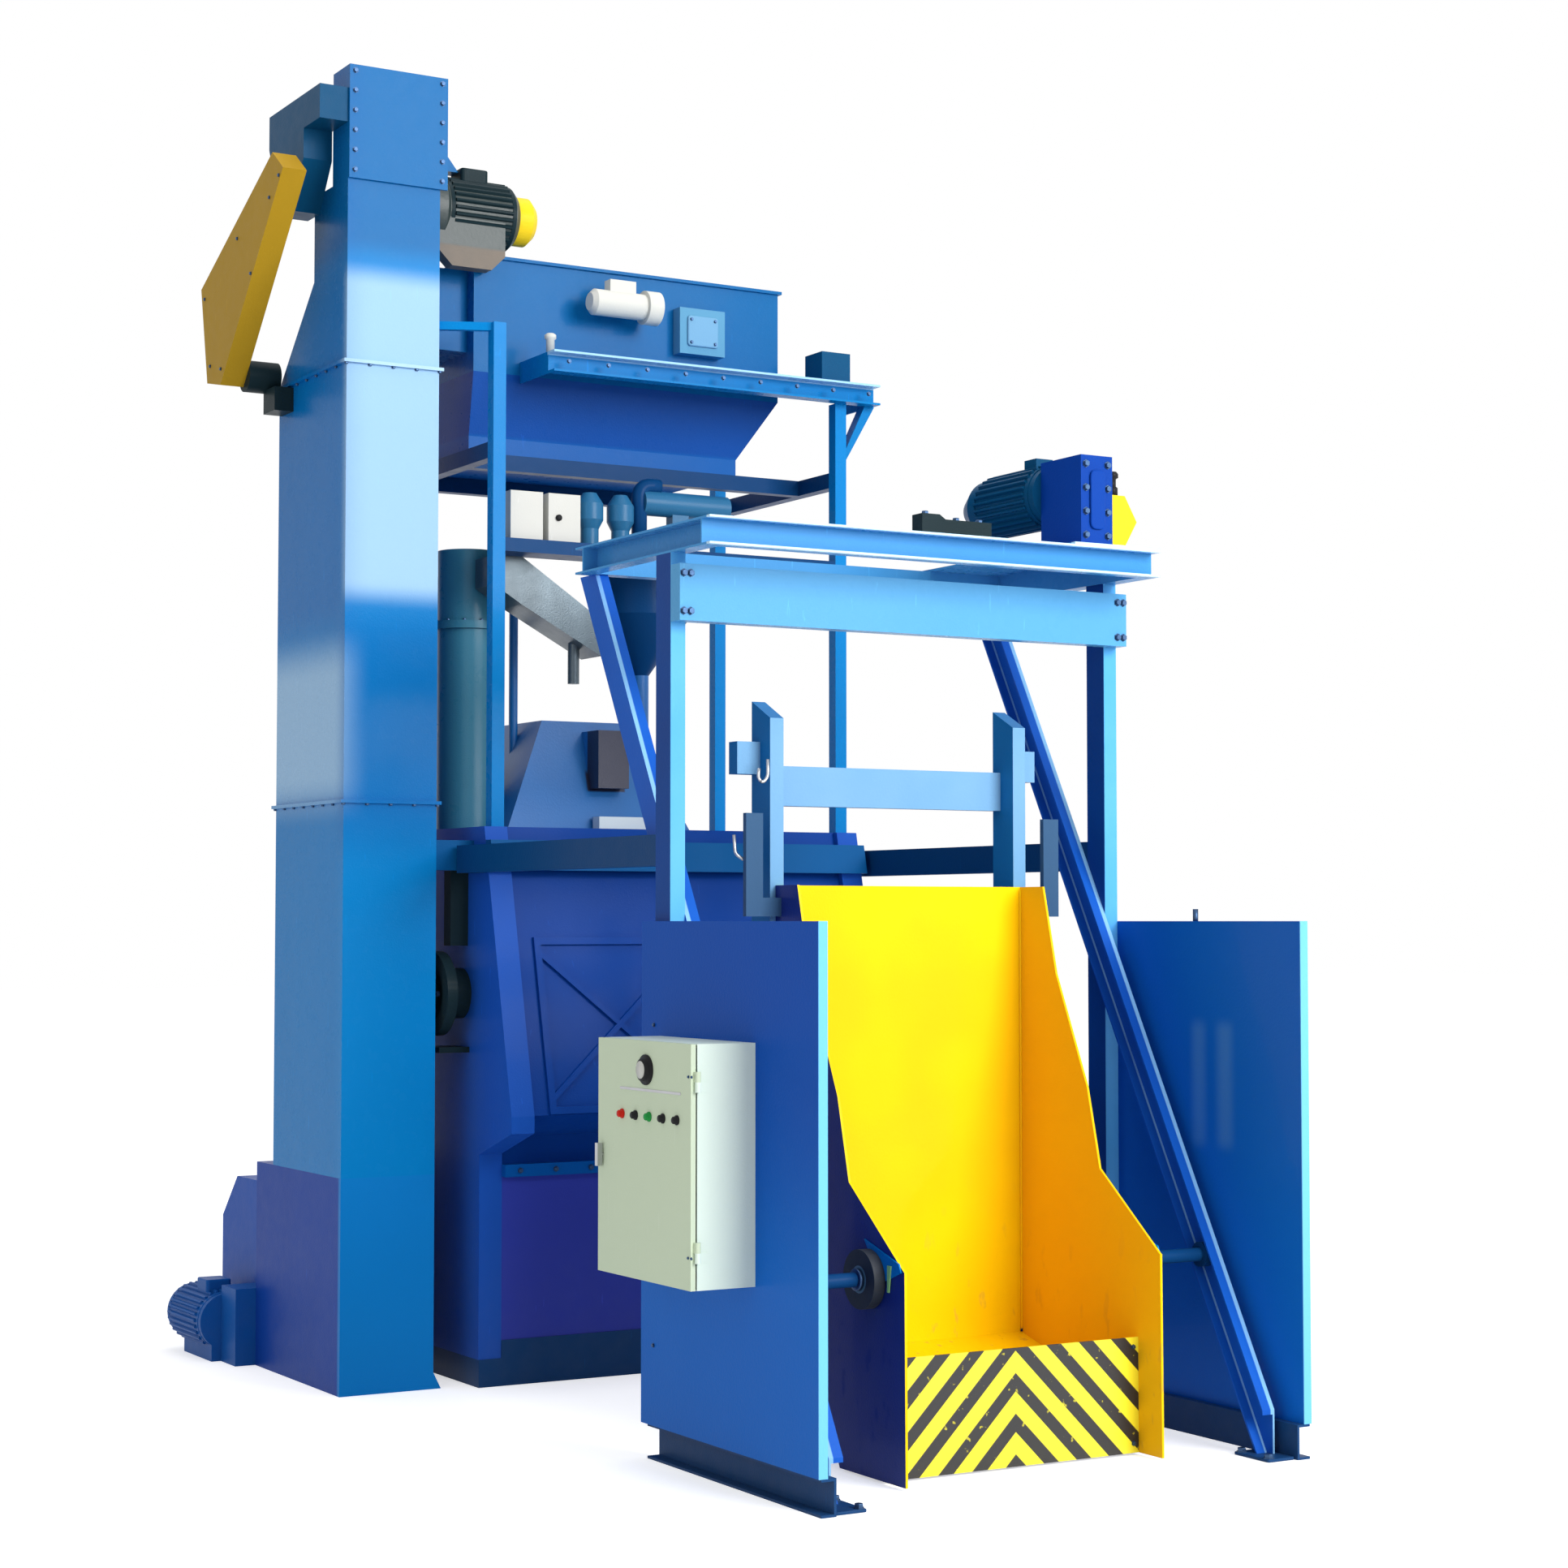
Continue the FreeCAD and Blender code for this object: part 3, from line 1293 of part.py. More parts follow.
def buildSkipFrame(at):
    armFront = "(skipBack + skipWall)"
    arm = [
        (at(armFront), "armLow"), (at(f"{armFront} + armDepth"), "armLow"),
        (at(f"{armFront} + armDepth"), "armTop"), (at(armFront), "armTop - armChamfer"),
    ]
    bar = box(
        "Crossbar",
        ("-armSpan / 2 + armWidth", at(f"{armFront} + armDepth - crossbarDepth"), "armTop - crossbarDrop"),
        ("armSpan - 2 * armWidth", "crossbarDepth", "crossbarHeight")
    )
    pieces = [bar]
    strapOuter = "(skipWidth / 2 + strapReach)"
    sides = (
        ("Left", "-armSpan / 2", "-armSpan / 2 - earReach", f"-{strapOuter}", f"-{strapOuter}"),
        ("Right", "armSpan / 2 - armWidth", "armSpan / 2", f"{strapOuter} - strapWidth", "skipWidth / 2"),
    )
    straps = []
    for side, armX, earX, strapX, footX in sides:
        pieces.append(extrusion("Arm" + side, "YZ", arm, armX, "armWidth"))
        pieces.append(
            box(
                "Ear" + side, (earX, at(f"{armFront} + armDepth - earDepth"), "armTop - earDrop"),
                ("earReach", "earDepth", "earHeight")
            )
        )
        strap = box(
            "Strap" + side, (strapX, at("strapFront"), "strapLow"),
            ("strapWidth", "strapThickness", "strapTop - strapLow")
        )
        foot = box(
            "StrapFoot" + side, (footX, at("strapFront"), "strapLow"),
            ("strapReach", "strapThickness", "strapFootHeight")
        )
        straps.append(joined("Hanger" + side, strap, foot))
    node("skip_frame", joined("SkipFrame", *pieces))
    node("skip_hangers", group("SkipHangers", *straps))
    axleY = railPath("axleLevel")
    rollerOuter = f"({railOuter} - railWall - rollerSide)"
    reach = f"({rollerOuter} - skipWidth / 2)"
    axles = []
    for side, start, rollerStart in (("Left", f"-{rollerOuter}", f"-{rollerOuter}"),
                                     ("Right", "skipWidth / 2", f"({rollerOuter} - rollerWidth)")):
        stub = rod(side + "Stub", (start, at(axleY), "axleLevel"), "X", "axleRadius", reach)
        roller = rod(
            side + "Roller", (rollerStart, at(axleY), "axleLevel"), "X", "rollerRadius", "rollerWidth"
        )
        axles.append(joined(side + "Axle", stub, roller))
    node("skip_axles", group("SkipAxles", *axles))
    for side, start in (
        ("left", "-skipWidth / 2 - wheelGap - wheelWidth"), ("right", "skipWidth / 2 + wheelGap")
    ):
        name = "Wheel" + side.capitalize()
        disc = turned(
            name + "Disc",
            [
                ("axleRadius + wheelRunning", "0"), ("wheelRadius", "0"), ("wheelRadius", "wheelWidth"),
                ("wheelHubRadius * 3 / 2", "wheelWidth"),
                ("wheelHubRadius * 3 / 2", "wheelWidth - wheelHubInset"),
                ("wheelHubRadius", "wheelWidth - wheelHubInset"), ("wheelHubRadius", "wheelWidth"),
                ("axleRadius + wheelRunning", "wheelWidth")
            ],
            (start, at(axleY), "axleLevel"), "X"
        )
        node("skip_wheel_" + side, disc)


def buildCabinet():
    face = f"(-{guardHalf} - cabinetDepth)"
    bodyFace = f"({face} + doorSkin + doorGap)"
    y = f"({loader} + cabinetFront)"
    bodyDepth = "cabinetDepth - doorSkin - doorGap"
    shell = box(
        "CabinetShell", (bodyFace, y, "cabinetBottom"), (bodyDepth, "cabinetWidth", "cabinetHeight")
    )
    hollow = box(
        "CabinetHollow", (bodyFace, f"{y} + cabinetSkin", "cabinetBottom + cabinetSkin"),
        (f"{bodyDepth} - cabinetSkin", "cabinetWidth - 2 * cabinetSkin", "cabinetHeight - 2 * cabinetSkin")
    )
    hingeX = f"({bodyFace} - doorGap / 2)"
    hingeY = f"({y} - knuckleRadius)"
    knuckles = []
    tools = []
    leaves = []
    for number, level in enumerate(
        (
            "(cabinetBottom + knuckleInset)",
            "(cabinetBottom + cabinetHeight - knuckleInset - 2 * knuckleLength)"
        )
    ):
        knuckles.append(
            rod("BodyKnuckle%d" % number, (hingeX, hingeY, level), "Z", "knuckleRadius", "knuckleLength")
        )
        knuckles.append(
            rod("HingePin%d" % number, (hingeX, hingeY, level), "Z", "pinRadius", "2 * knuckleLength")
        )
        knuckles.append(
            box(
                "BodyLeaf%d" % number, (hingeX, f"{y} - leafThickness", level),
                ("leafWidth", "leafThickness", "knuckleLength")
            )
        )
        top = f"({level} + knuckleLength + hingeRunning)"
        leaves.append(
            rod("DoorKnuckle%d" % number, (hingeX, hingeY, top), "Z", "knuckleRadius", "knuckleLength")
        )
        leaves.append(
            box(
                "DoorLeaf%d" % number, (f"{hingeX} - knuckleRadius", hingeY, top),
                ("knuckleRadius - doorGap / 2", "knuckleRadius + leafThickness", "knuckleLength")
            )
        )
        tools.append(
            rod(
                "DoorBore%d" % number, (hingeX, hingeY, level), "Z", "pinRadius + hingeRunning",
                "3 * knuckleLength"
            )
        )
    node("cabinet_box", joined("CabinetBox", cut("CabinetCut", shell, hollow), *knuckles))
    wall = f"(-{guardHalf} - cabinetSkin)"
    mounting = box(
        "MountingPanel",
        (
            f"{wall} - panelStand - panelThickness", f"{y} + cabinetSkin + panelInset",
            "cabinetBottom + cabinetSkin + panelInset"
        ),
        (
            "panelThickness", "cabinetWidth - 2 * cabinetSkin - 2 * panelInset",
            "cabinetHeight - 2 * cabinetSkin - 2 * panelInset"
        )
    )
    spacer = box(
        "PanelSpacer",
        (f"{wall} - panelStand", f"{y} + cabinetWidth / 4", "cabinetBottom + cabinetHeight / 4"),
        ("panelStand", "cabinetWidth / 2", "cabinetHeight / 2")
    )
    node("cabinet_panel", joined("CabinetPanel", mounting, spacer))
    panel = box("DoorPanel", (face, y, "cabinetBottom"), ("doorSkin", "cabinetWidth", "cabinetHeight"))
    shaftAt = (face, f"{y} + cabinetWidth - latchInset", "cabinetBottom + cabinetHeight / 2")
    shaftHole = rod("LatchHole", shaftAt, "X", "latchRadius + hingeRunning", "doorSkin")
    node("cabinet_door", cut("CabinetDoor", joined("DoorWithLeaves", panel, *leaves), *tools, shaftHole))
    shaft = rod("LatchShaft", shaftAt, "X", "latchRadius", "doorSkin")
    grip = box(
        "LatchGrip",
        (
            f"{face} - latchGripDepth", f"{shaftAt[1]} - latchRadius * 3 / 2",
            f"{shaftAt[2]} - latchGripLength / 2"
        ),
        ("latchGripDepth - latchStand", "3 * latchRadius", "latchGripLength")
    )
    neck = rod(
        "LatchNeck", (f"{face} - latchStand", shaftAt[1], shaftAt[2]), "X", "latchRadius", "latchStand"
    )
    node("cabinet_latch", joined("CabinetLatch", shaft, neck, grip))


buildChamber()
buildBeltDrive()
buildElevator()
buildBootDrive()
buildHeadDrive()
buildGearMotor()
buildTower()
buildValves()
buildPlatform()
buildSeparator()
buildWheelHead()
buildGuards()
buildGantry()
buildRails()
buildSkip()
buildCabinet()

doc.recompute()
for piece in doc.Objects:
    if "Invalid" in piece.State or "Error" in piece.State:
        raise RuntimeError("%s failed: %s" % (piece.Label, piece.State))

os.makedirs("parts", exist_ok=True)
for label, piece in nodes.items():
    shape = piece.Shape
    if shape.isNull() or not shape.isValid():
        raise RuntimeError("%s has no valid shape" % label)
    shape.exportStep("parts/%s.step" % label)
print("%d parts written" % len(nodes))
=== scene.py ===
import math

import bpy
import numpy as np
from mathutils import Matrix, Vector


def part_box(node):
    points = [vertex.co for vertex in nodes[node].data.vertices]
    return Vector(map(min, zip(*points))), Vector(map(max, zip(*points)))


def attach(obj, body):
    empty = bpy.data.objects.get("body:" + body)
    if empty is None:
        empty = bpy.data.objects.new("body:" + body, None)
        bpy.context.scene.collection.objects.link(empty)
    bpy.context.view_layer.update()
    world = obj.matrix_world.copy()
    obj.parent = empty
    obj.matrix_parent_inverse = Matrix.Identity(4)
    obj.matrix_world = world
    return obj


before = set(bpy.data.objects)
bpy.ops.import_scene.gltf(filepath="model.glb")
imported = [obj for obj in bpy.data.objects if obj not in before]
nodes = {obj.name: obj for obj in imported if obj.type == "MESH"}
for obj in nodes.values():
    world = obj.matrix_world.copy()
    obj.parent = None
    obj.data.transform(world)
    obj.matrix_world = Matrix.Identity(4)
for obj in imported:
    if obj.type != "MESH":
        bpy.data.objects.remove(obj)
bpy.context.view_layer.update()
print("frame loaded:", len(nodes), "nodes")

# camera

camera = {
    "place": (-5.11, -10.09, 1.685),
    "forward": (0.5045, 0.8634),  # the way it looks, seen from above
    "pitch": 2.74,                # degrees above level
    "focalPixels": 3530,
    "imagePixels": 1932,
    "sensor": 36.0,
}


def makeCamera(settings):
    data = bpy.data.cameras.new("camera")
    data.sensor_width = settings["sensor"]
    data.lens = settings["focalPixels"] / settings["imagePixels"] * settings["sensor"]
    data.clip_end = 200
    holder = bpy.data.objects.new("camera", data)
    rise = math.tan(math.radians(settings["pitch"]))
    looking = Vector((*settings["forward"], rise))
    holder.rotation_euler = looking.to_track_quat("-Z", "Y").to_euler()
    holder.location = settings["place"]
    bpy.context.collection.objects.link(holder)
    bpy.context.scene.camera = holder


makeCamera(camera)

# shader maths


class Wire:
    # wraps one socket, so that sums and products of sockets are written as such

    def __init__(self, tree, socket):
        self.tree = tree
        self.socket = socket

    def maths(self, kind, *others, clamp=False):
        values = {0: self}
        values.update({index + 1: other for index, other in enumerate(others)})
        return self.tree.put("ShaderNodeMath", {"operation": kind, "use_clamp": clamp}, values)

    def __add__(self, other):
        return self.maths("ADD", other)

    def __sub__(self, other):
        return self.maths("SUBTRACT", other)

    def __rsub__(self, other):
        return (self * -1) + other

    def __mul__(self, other):
        return self.maths("MULTIPLY", other)

    def __truediv__(self, other):
        return self.maths("DIVIDE", other)

    def __neg__(self):
        return self * -1

    def __abs__(self):
        return self.maths("ABSOLUTE")

    __radd__ = __add__
    __rmul__ = __mul__

    def most(self, other):
        return self.maths("MAXIMUM", other)

    def wrapped(self):
        return self.maths("FRACT")

    def clamped(self):
        return self.maths("ADD", 0.0, clamp=True)

    def over(self, low, high):
        # 0 below low, 1 above high, smooth between; low may be the larger one
        return self.tree.put("ShaderNodeMapRange", {"interpolation_type": "SMOOTHSTEP"},
                             {"Value": self, "From Min": low, "From Max": high})


socketNames = {
    "sheen": "Specular IOR Level", "coat": "Coat Weight", "coatRough": "Coat Roughness",
    "metallic": "Metallic", "rough": "Roughness", "colour": "Base Color", "glow": "Emission Color"
}


class NodeTree:
    # a node tree and the calls that put its nodes in

    def __init__(self, tree):
        self.nodes = tree.nodes
        self.links = tree.links

    def add(self, kind, settings, values):
        made = self.nodes.new(kind)
        for name, setting in settings.items():
            setattr(made, name, setting)
        for name, value in values.items():
            self.feed(made.inputs[name], value)
        return made

    def feed(self, socket, value):
        if isinstance(value, Wire):
            self.links.new(value.socket, socket)
        else:
            socket.default_value = value

    def put(self, kind, settings, values, output=0):
        return Wire(self, self.add(kind, settings, values).outputs[output])

    def apart(self, vector):
        made = self.add("ShaderNodeSeparateXYZ", {}, {0: vector})
        return [Wire(self, made.outputs[index]) for index in range(3)]


class Finish(NodeTree):
    # a material told by the object's own coordinates

    def __init__(self, name):
        self.material = bpy.data.materials.new(name)
        self.material.use_nodes = True
        super().__init__(self.material.node_tree)
        self.surface = self.nodes["Principled BSDF"]
        self.place = self.put("ShaderNodeTexCoord", {}, {}, "Object")
        self.x, self.y, self.z = self.apart(self.place)

    def set(self, **values):
        # constants straight on the shader's sockets
        for name, value in values.items():
            self.surface.inputs[socketNames[name]].default_value = value

    def paint(self, name, wire):
        # a changing value into one of the shader's sockets
        self.feed(self.surface.inputs[socketNames[name]], wire)

    def noise(self, scale, detail=3.0, stretch=(1, 1, 1)):
        where = self.put("ShaderNodeMapping", {}, {"Vector": self.place, "Scale": stretch})
        return self.put("ShaderNodeTexNoise", {}, {"Vector": where, "Scale": scale, "Detail": detail})

    def mix(self, factor, first, second):
        return self.put("ShaderNodeMix", {"data_type": "RGBA"}, {0: factor, 6: first, 7: second}, 2)

    def bump(self, height, depth, strength=1.0):
        lift = self.put("ShaderNodeBump", {}, {"Height": height, "Distance": depth, "Strength": strength})
        self.feed(self.surface.inputs["Normal"], lift)

    def within(self, low, high, soft):
        # 1 inside a box of the object's own space and 0 outside it, over a soft edge
        inside = None
        for wire, lowest, highest in zip((self.x, self.y, self.z), low, high):
            part = wire.over(lowest - soft, lowest + soft) * wire.over(highest + soft, highest - soft)
            inside = part if inside is None else inside * part
        return inside

    def facing(self):
        return self.apart(self.put("ShaderNodeNewGeometry", {}, {}, "Normal"))


def rgba(colour):
    return (*colour, 1.0)


def scaled(colour, amount):
    return tuple(min(1.0, value * amount) for value in colour)


def paintFinish(
    name, colour, rough=0.32, cloud=0.16, dust=0.10, peel=0.0005, coat=0.02, patches=(), metallic=0.0,
    scratches=0.25, sheen=0.05
):
    # sheet metal paint: soft clouds of tone, faint vertical streaks, dust low down and fine scratches
    made = Finish(name)
    clouds = made.noise(1.6, 2.0)
    streaks = made.noise(9.0, 3.0, (1, 1, 0.08))
    tone = (clouds - 0.5) * 2 * cloud + (streaks - 0.5) * cloud
    light = made.mix(
        (tone + 0.5).clamped(), rgba(scaled(colour, 1 - cloud)), rgba(scaled(colour, 1 + cloud))
    )
    grime = made.z.over(0.75, 0.0) * dust * made.noise(14.0, 5.0)
    light = made.mix(grime.clamped(), light, rgba((0.20, 0.19, 0.18)))
    marks = made.noise(70.0, 2.0, (1, 1, 0.12)).over(0.70, 0.76) * scratches
    light = made.mix(marks.clamped(), light, rgba(scaled(colour, 1.9)))
    for patch in patches:
        mask = made.within(patch["low"], patch["high"], patch["soft"]) * patch["amount"]
        light = made.mix(mask.clamped(), light, rgba(patch["colour"]))
    made.paint("colour", light)
    made.paint("rough", (rough + (made.noise(22.0, 4.0) - 0.5) * 0.18 + grime * 0.4).clamped())
    made.set(metallic=metallic, coat=coat, coatRough=0.12, sheen=sheen)
    made.bump(made.noise(160.0, 2.0) + made.noise(6.0, 1.0) * 2, peel)
    return made


def steelFinish(name, colour=(0.52, 0.53, 0.55), rough=0.34):
    made = Finish(name)
    grain = made.noise(120.0, 3.0, (1, 0.1, 1))
    made.paint("colour", made.mix(made.noise(18.0, 4.0), rgba(scaled(colour, 0.75)), rgba(colour)))
    made.paint("rough", (rough + (grain - 0.5) * 0.25).clamped())
    made.set(metallic=0.9)
    made.bump(grain, 0.0002)
    return made


# colours as linear light

blue = (0.001, 0.200, 0.540)
midBlue = (0.002, 0.095, 0.380)
# upperBlue is a darker copy of the machine blue: painted shade on the casing's upper part and on the
# separator box
upperBlue = (0.003, 0.120, 0.340)
doorBlue = (0.003, 0.052, 0.300)
navy = (0.003, 0.048, 0.160)
indigo = (0.034, 0.054, 0.390)
skyWhite = (0.580, 0.800, 0.950)
teal = (0.003, 0.070, 0.170)
yellow = (0.990, 0.660, 0.002)
amber = (0.740, 0.340, 0.010)
mustard = (0.420, 0.250, 0.015)

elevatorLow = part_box("elevator_upper_casing")[0]
casingLook = {
    "faceY": elevatorLow[1] + 0.020,   # in front of this lies only the front face
    "outerX": elevatorLow[0] + 0.020,  # and left of this only the outer side
    "glareLow": 2.86, "glareHigh": 4.03,
    "sideGlareLow": 2.12, "sideGlareHigh": 2.66,
}


def casingPatches(look):
    # painted reflections and painted shade in bands on the casing's front and outer side, as its glossy coat
    # shows them: pale bands of painted reflection, darker bands of painted shade above and below them, and a
    # brighter lower front as painted light
    return [
        {
            "low": (-2, -2, look["glareLow"]), "high": (2, look["faceY"], look["glareHigh"]), "soft": 0.05,
            "colour": skyWhite, "amount": 0.85
        },
        {
            "low": (-2, -2, look["glareHigh"] + 0.08), "high": (2, 2, 5.0), "soft": 0.06,
            "colour": upperBlue, "amount": 0.85
        },
        {
            "low": (-2, -2, 2.0), "high": (2, look["faceY"], look["glareLow"] - 0.08), "soft": 0.12,
            "colour": midBlue, "amount": 0.6
        },
        {
            "low": (-2, -2, -1), "high": (2, look["faceY"], 1.9), "soft": 0.10,
            "colour": (0.004, 0.270, 0.680), "amount": 0.7
        },
        {
            "low": (-2, look["faceY"], look["sideGlareLow"]),
            "high": (look["outerX"], 0.6, look["sideGlareHigh"]), "soft": 0.10, "colour": skyWhite,
            "amount": 0.95
        },
        {
            "low": (-2, look["faceY"], look["sideGlareHigh"] + 0.1), "high": (look["outerX"], 0.6, 5.0),
            "soft": 0.10, "colour": midBlue, "amount": 0.8
        }
    ]


finishes = {
    "casing": paintFinish("casingBlue", blue, rough=0.26, coat=0.04, patches=casingPatches(casingLook)),
    "boot": paintFinish(
        "bootBlue", (0.003, 0.050, 0.330), rough=0.36, dust=0.04,
        # the boot's front face painted brighter than its sides: painted light
        patches=[
            {
                "low": (-2, -2, -1), "high": (2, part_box("elevator_boot")[0][1] + 0.02, 3), "soft": 0.01,
                "colour": (0.004, 0.220, 0.620), "amount": 0.95
            }
        ]
    ),
    "tail": paintFinish("tailBlue", (0.002, 0.075, 0.420), rough=0.36, dust=0.03),
    "platform": paintFinish(
        "platformBlue", (0.002, 0.180, 0.480), rough=0.28,
        # a pale strip along the platform's top front edge: painted highlight
        patches=[
            {
                "low": (-2, -2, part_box("platform")[1][2] - 0.012),
                "high": (2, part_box("platform")[0][1] + 0.06, 4), "soft": 0.003,
                "colour": (0.42, 0.70, 0.92), "amount": 0.8
            }
        ]
    ),
    # the jambs in a lighter copy of the door blue: painted light against the shade they stand in
    "jamb": paintFinish("jambBlue", (0.012, 0.090, 0.460), rough=0.36),
    "cap": paintFinish("capBlue", (0.003, 0.095, 0.290), rough=0.36),
    "bootMotor": paintFinish("bootMotorBlue", (0.002, 0.095, 0.380), rough=0.38, cloud=0.25),
    # the separator box in the darker upper blue: painted shade
    "upper": paintFinish("upperBlue", upperBlue, rough=0.28, coat=0.04),
    "door": paintFinish("doorBlue", doorBlue, rough=0.34),
    "blue": paintFinish("machineBlue", blue, rough=0.28, coat=0.04),
    "mid": paintFinish("midBlue", midBlue, rough=0.32), "navy": paintFinish("navyBlue", navy, rough=0.36),
    "indigo": paintFinish("shadeBlue", indigo, rough=0.42),
    "mustard": paintFinish("guardYellow", mustard, rough=0.45, cloud=0.2, scratches=0.1),
    "warning": paintFinish("capYellow", (0.85, 0.60, 0.02), rough=0.35, scratches=0.1),
    "cabinet": paintFinish(
        "cabinetCoat", (0.72, 0.84, 0.74), rough=0.4, cloud=0.05, dust=0.05, scratches=0.05
    ),
    "cabinetDoor": paintFinish(
        "cabinetDoorCoat", (0.60, 0.70, 0.52), rough=0.4, cloud=0.06, dust=0.05, scratches=0.05
    ),
    "teal": paintFinish("motorTeal", teal, rough=0.38, cloud=0.25),
    "dark": paintFinish("motorDark", (0.010, 0.024, 0.030), rough=0.4, cloud=0.3),
    "cream": paintFinish("creamCoat", (0.62, 0.62, 0.58), rough=0.4, cloud=0.12),
    "paleBox": paintFinish("boxBlue", (0.16, 0.36, 0.56), rough=0.36, cloud=0.1),
    "valve": paintFinish("valveBlue", (0.02, 0.13, 0.27), rough=0.34, cloud=0.3, sheen=0.2),
    "hanger": paintFinish("hangerBlue", (0.04, 0.10, 0.20), rough=0.4, cloud=0.2),
    # the lintel in a paler copy of the machine blue: painted highlight
    "lintel": paintFinish("lintelBlue", (0.10, 0.36, 0.66), rough=0.28, cloud=0.08),
    "duct": paintFinish("ductBlue", (0.040, 0.185, 0.270), rough=0.3, cloud=0.3, sheen=0.25),
    # the top frame in a paler blue with a near-white front channel: painted highlight
    "frameTop": paintFinish(
        "topFrameBlue", (0.06, 0.29, 0.62), rough=0.28, cloud=0.1,
        patches=[
            {
                "low": (-2, -3, 2.80), "high": (2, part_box("top_frame")[0][1] + 0.022, 3.0), "soft": 0.002,
                "colour": (0.60, 0.84, 1.0), "amount": 0.9
            }
        ]
    ),
    "inspect": paintFinish(
        "boxCream", (0.62, 0.62, 0.58), rough=0.4, cloud=0.12,
        patches=[
            {
                "low": (-2, -2, 3.6), "high": (2, 2, 5), "soft": 0.02, "colour": (0.10, 0.30, 0.48),
                "amount": 1.0
            }
        ]
    ),
    "grey": paintFinish("sheetGrey", (0.17, 0.27, 0.34), rough=0.38, metallic=0.35, cloud=0.3),
    "trough": paintFinish(
        "troughGrey", (0.085, 0.115, 0.135), rough=0.32, metallic=0.4, cloud=0.6, sheen=0.4
    ),
    "steel": steelFinish("bareSteel"), "darkSteel": steelFinish("boltSteel", (0.05, 0.10, 0.20), 0.42),
    "funnel": paintFinish(
        "funnelBlue", (0.006, 0.068, 0.320), rough=0.3,
        # a paler band round the funnel at its collar: painted highlight
        patches=[
            {"low": (-2, -2, 3.40), "high": (2, 2, 3.515), "soft": 0.01, "colour": blue, "amount": 0.25}
        ]
    )
}


def skipFinish():
    # yellow inside and navy outside: the outer skin is told by its place and by where it faces; inner faces
    # turned sideways take amber as painted shade
    made = Finish("skipPaint")
    low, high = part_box("skip_bucket")
    nx, ny, nz = made.facing()
    outer = abs(made.x).over(high[0] - 0.0045, high[0] - 0.003)
    outer = outer * abs(nx).over(0.6, 0.8)
    behind = ny.over(0.35, 0.5)
    under = (-nz).over(0.35, 0.5)
    outside = outer.most(behind).most(under)
    clouds = made.noise(1.8, 2.0)
    inner = made.mix(clouds.over(0.35, 0.7), rgba((0.93, 0.57, 0.004)), rgba(yellow))
    rub = made.noise(26.0, 5.0, (1, 1, 0.4)).over(0.60, 0.70) * made.z.over(0.9, 0.1) * 0.55
    inner = made.mix(rub, inner, rgba((0.46, 0.30, 0.06)))
    # inner faces that face sideways are darkened to amber: painted shade
    side = abs(nx).over(0.6, 0.9)
    inner = made.mix(side * 0.55, inner, rgba(amber))
    shell = made.mix(made.noise(2.2, 3.0), rgba((0.012, 0.030, 0.180)), rgba((0.018, 0.042, 0.260)))
    made.paint("colour", made.mix(outside, inner, shell))
    made.paint("rough", (0.34 + rub * 0.5 + (made.noise(20.0, 4.0) - 0.5) * 0.15).clamped())
    made.set(coat=0.03, sheen=0.06)
    made.bump(made.noise(150.0, 2.0) + made.noise(4.0, 1.0) * 4, 0.0006)
    return made


def stripeFinish():
    # black chevrons on yellow: bands of equal width that climb towards the plate's middle
    made = Finish("warningStripes")
    low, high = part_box("skip_front_plate")
    middle = (low[0] + high[0]) / 2
    width = high[0] - low[0]
    stripe = {"period": width / 7.6, "black": 0.47, "slope": 1.0, "start": 0.02}
    climb = made.z + abs(made.x - middle) * stripe["slope"] - low[2] + stripe["start"]
    band = (climb / stripe["period"]).wrapped()
    black = band.over(stripe["black"] + 0.02, stripe["black"] - 0.02) * band.over(0.0, 0.02)
    worn = made.noise(40.0, 5.0).over(0.66, 0.72) * 0.5
    colour = made.mix(black * (1 - worn), rgba((0.93, 0.82, 0.03)), rgba((0.016, 0.016, 0.018)))
    made.paint("colour", colour)
    made.paint("rough", 0.38 + worn * 0.3)
    made.bump(black, 0.0004, 0.5)
    return made


def wheelFinish():
    # black tread with a pale hub: told by the distance from the axle
    made = Finish("wheelPaint")
    low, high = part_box("skip_wheel_left")
    axleY, axleZ = (low[1] + high[1]) / 2, (low[2] + high[2]) / 2
    away = ((made.y - axleY) * (made.y - axleY) + (made.z - axleZ) * (made.z - axleZ)).maths("SQRT")
    hub = away.over(0.043, 0.040)
    colour = made.mix(hub, rgba((0.004, 0.010, 0.020)), rgba((0.10, 0.22, 0.26)))
    made.paint("colour", made.mix(made.noise(30.0, 4.0) * 0.15, colour, rgba((0.08, 0.08, 0.08))))
    made.paint("rough", 0.6 - hub * 0.25)
    made.bump(made.noise(80.0, 3.0), 0.0006)
    return made


def gearMotorFinish():
    # dark enamel above and brown cast metal below the motor's lower half
    made = Finish("gearMotorPaint")
    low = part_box("head_gear_motor")[0]
    cast = made.z.over(low[2] + 0.085, low[2] + 0.070)
    colour = made.mix(cast, rgba((0.020, 0.034, 0.034)), rgba((0.15, 0.115, 0.085)))
    made.paint("colour", made.mix(made.noise(20.0, 4.0) * 0.35, colour, rgba((0.05, 0.07, 0.07))))
    made.paint("rough", 0.42 + cast * 0.15)
    made.bump(made.noise(70.0, 3.0), 0.0012)
    return made


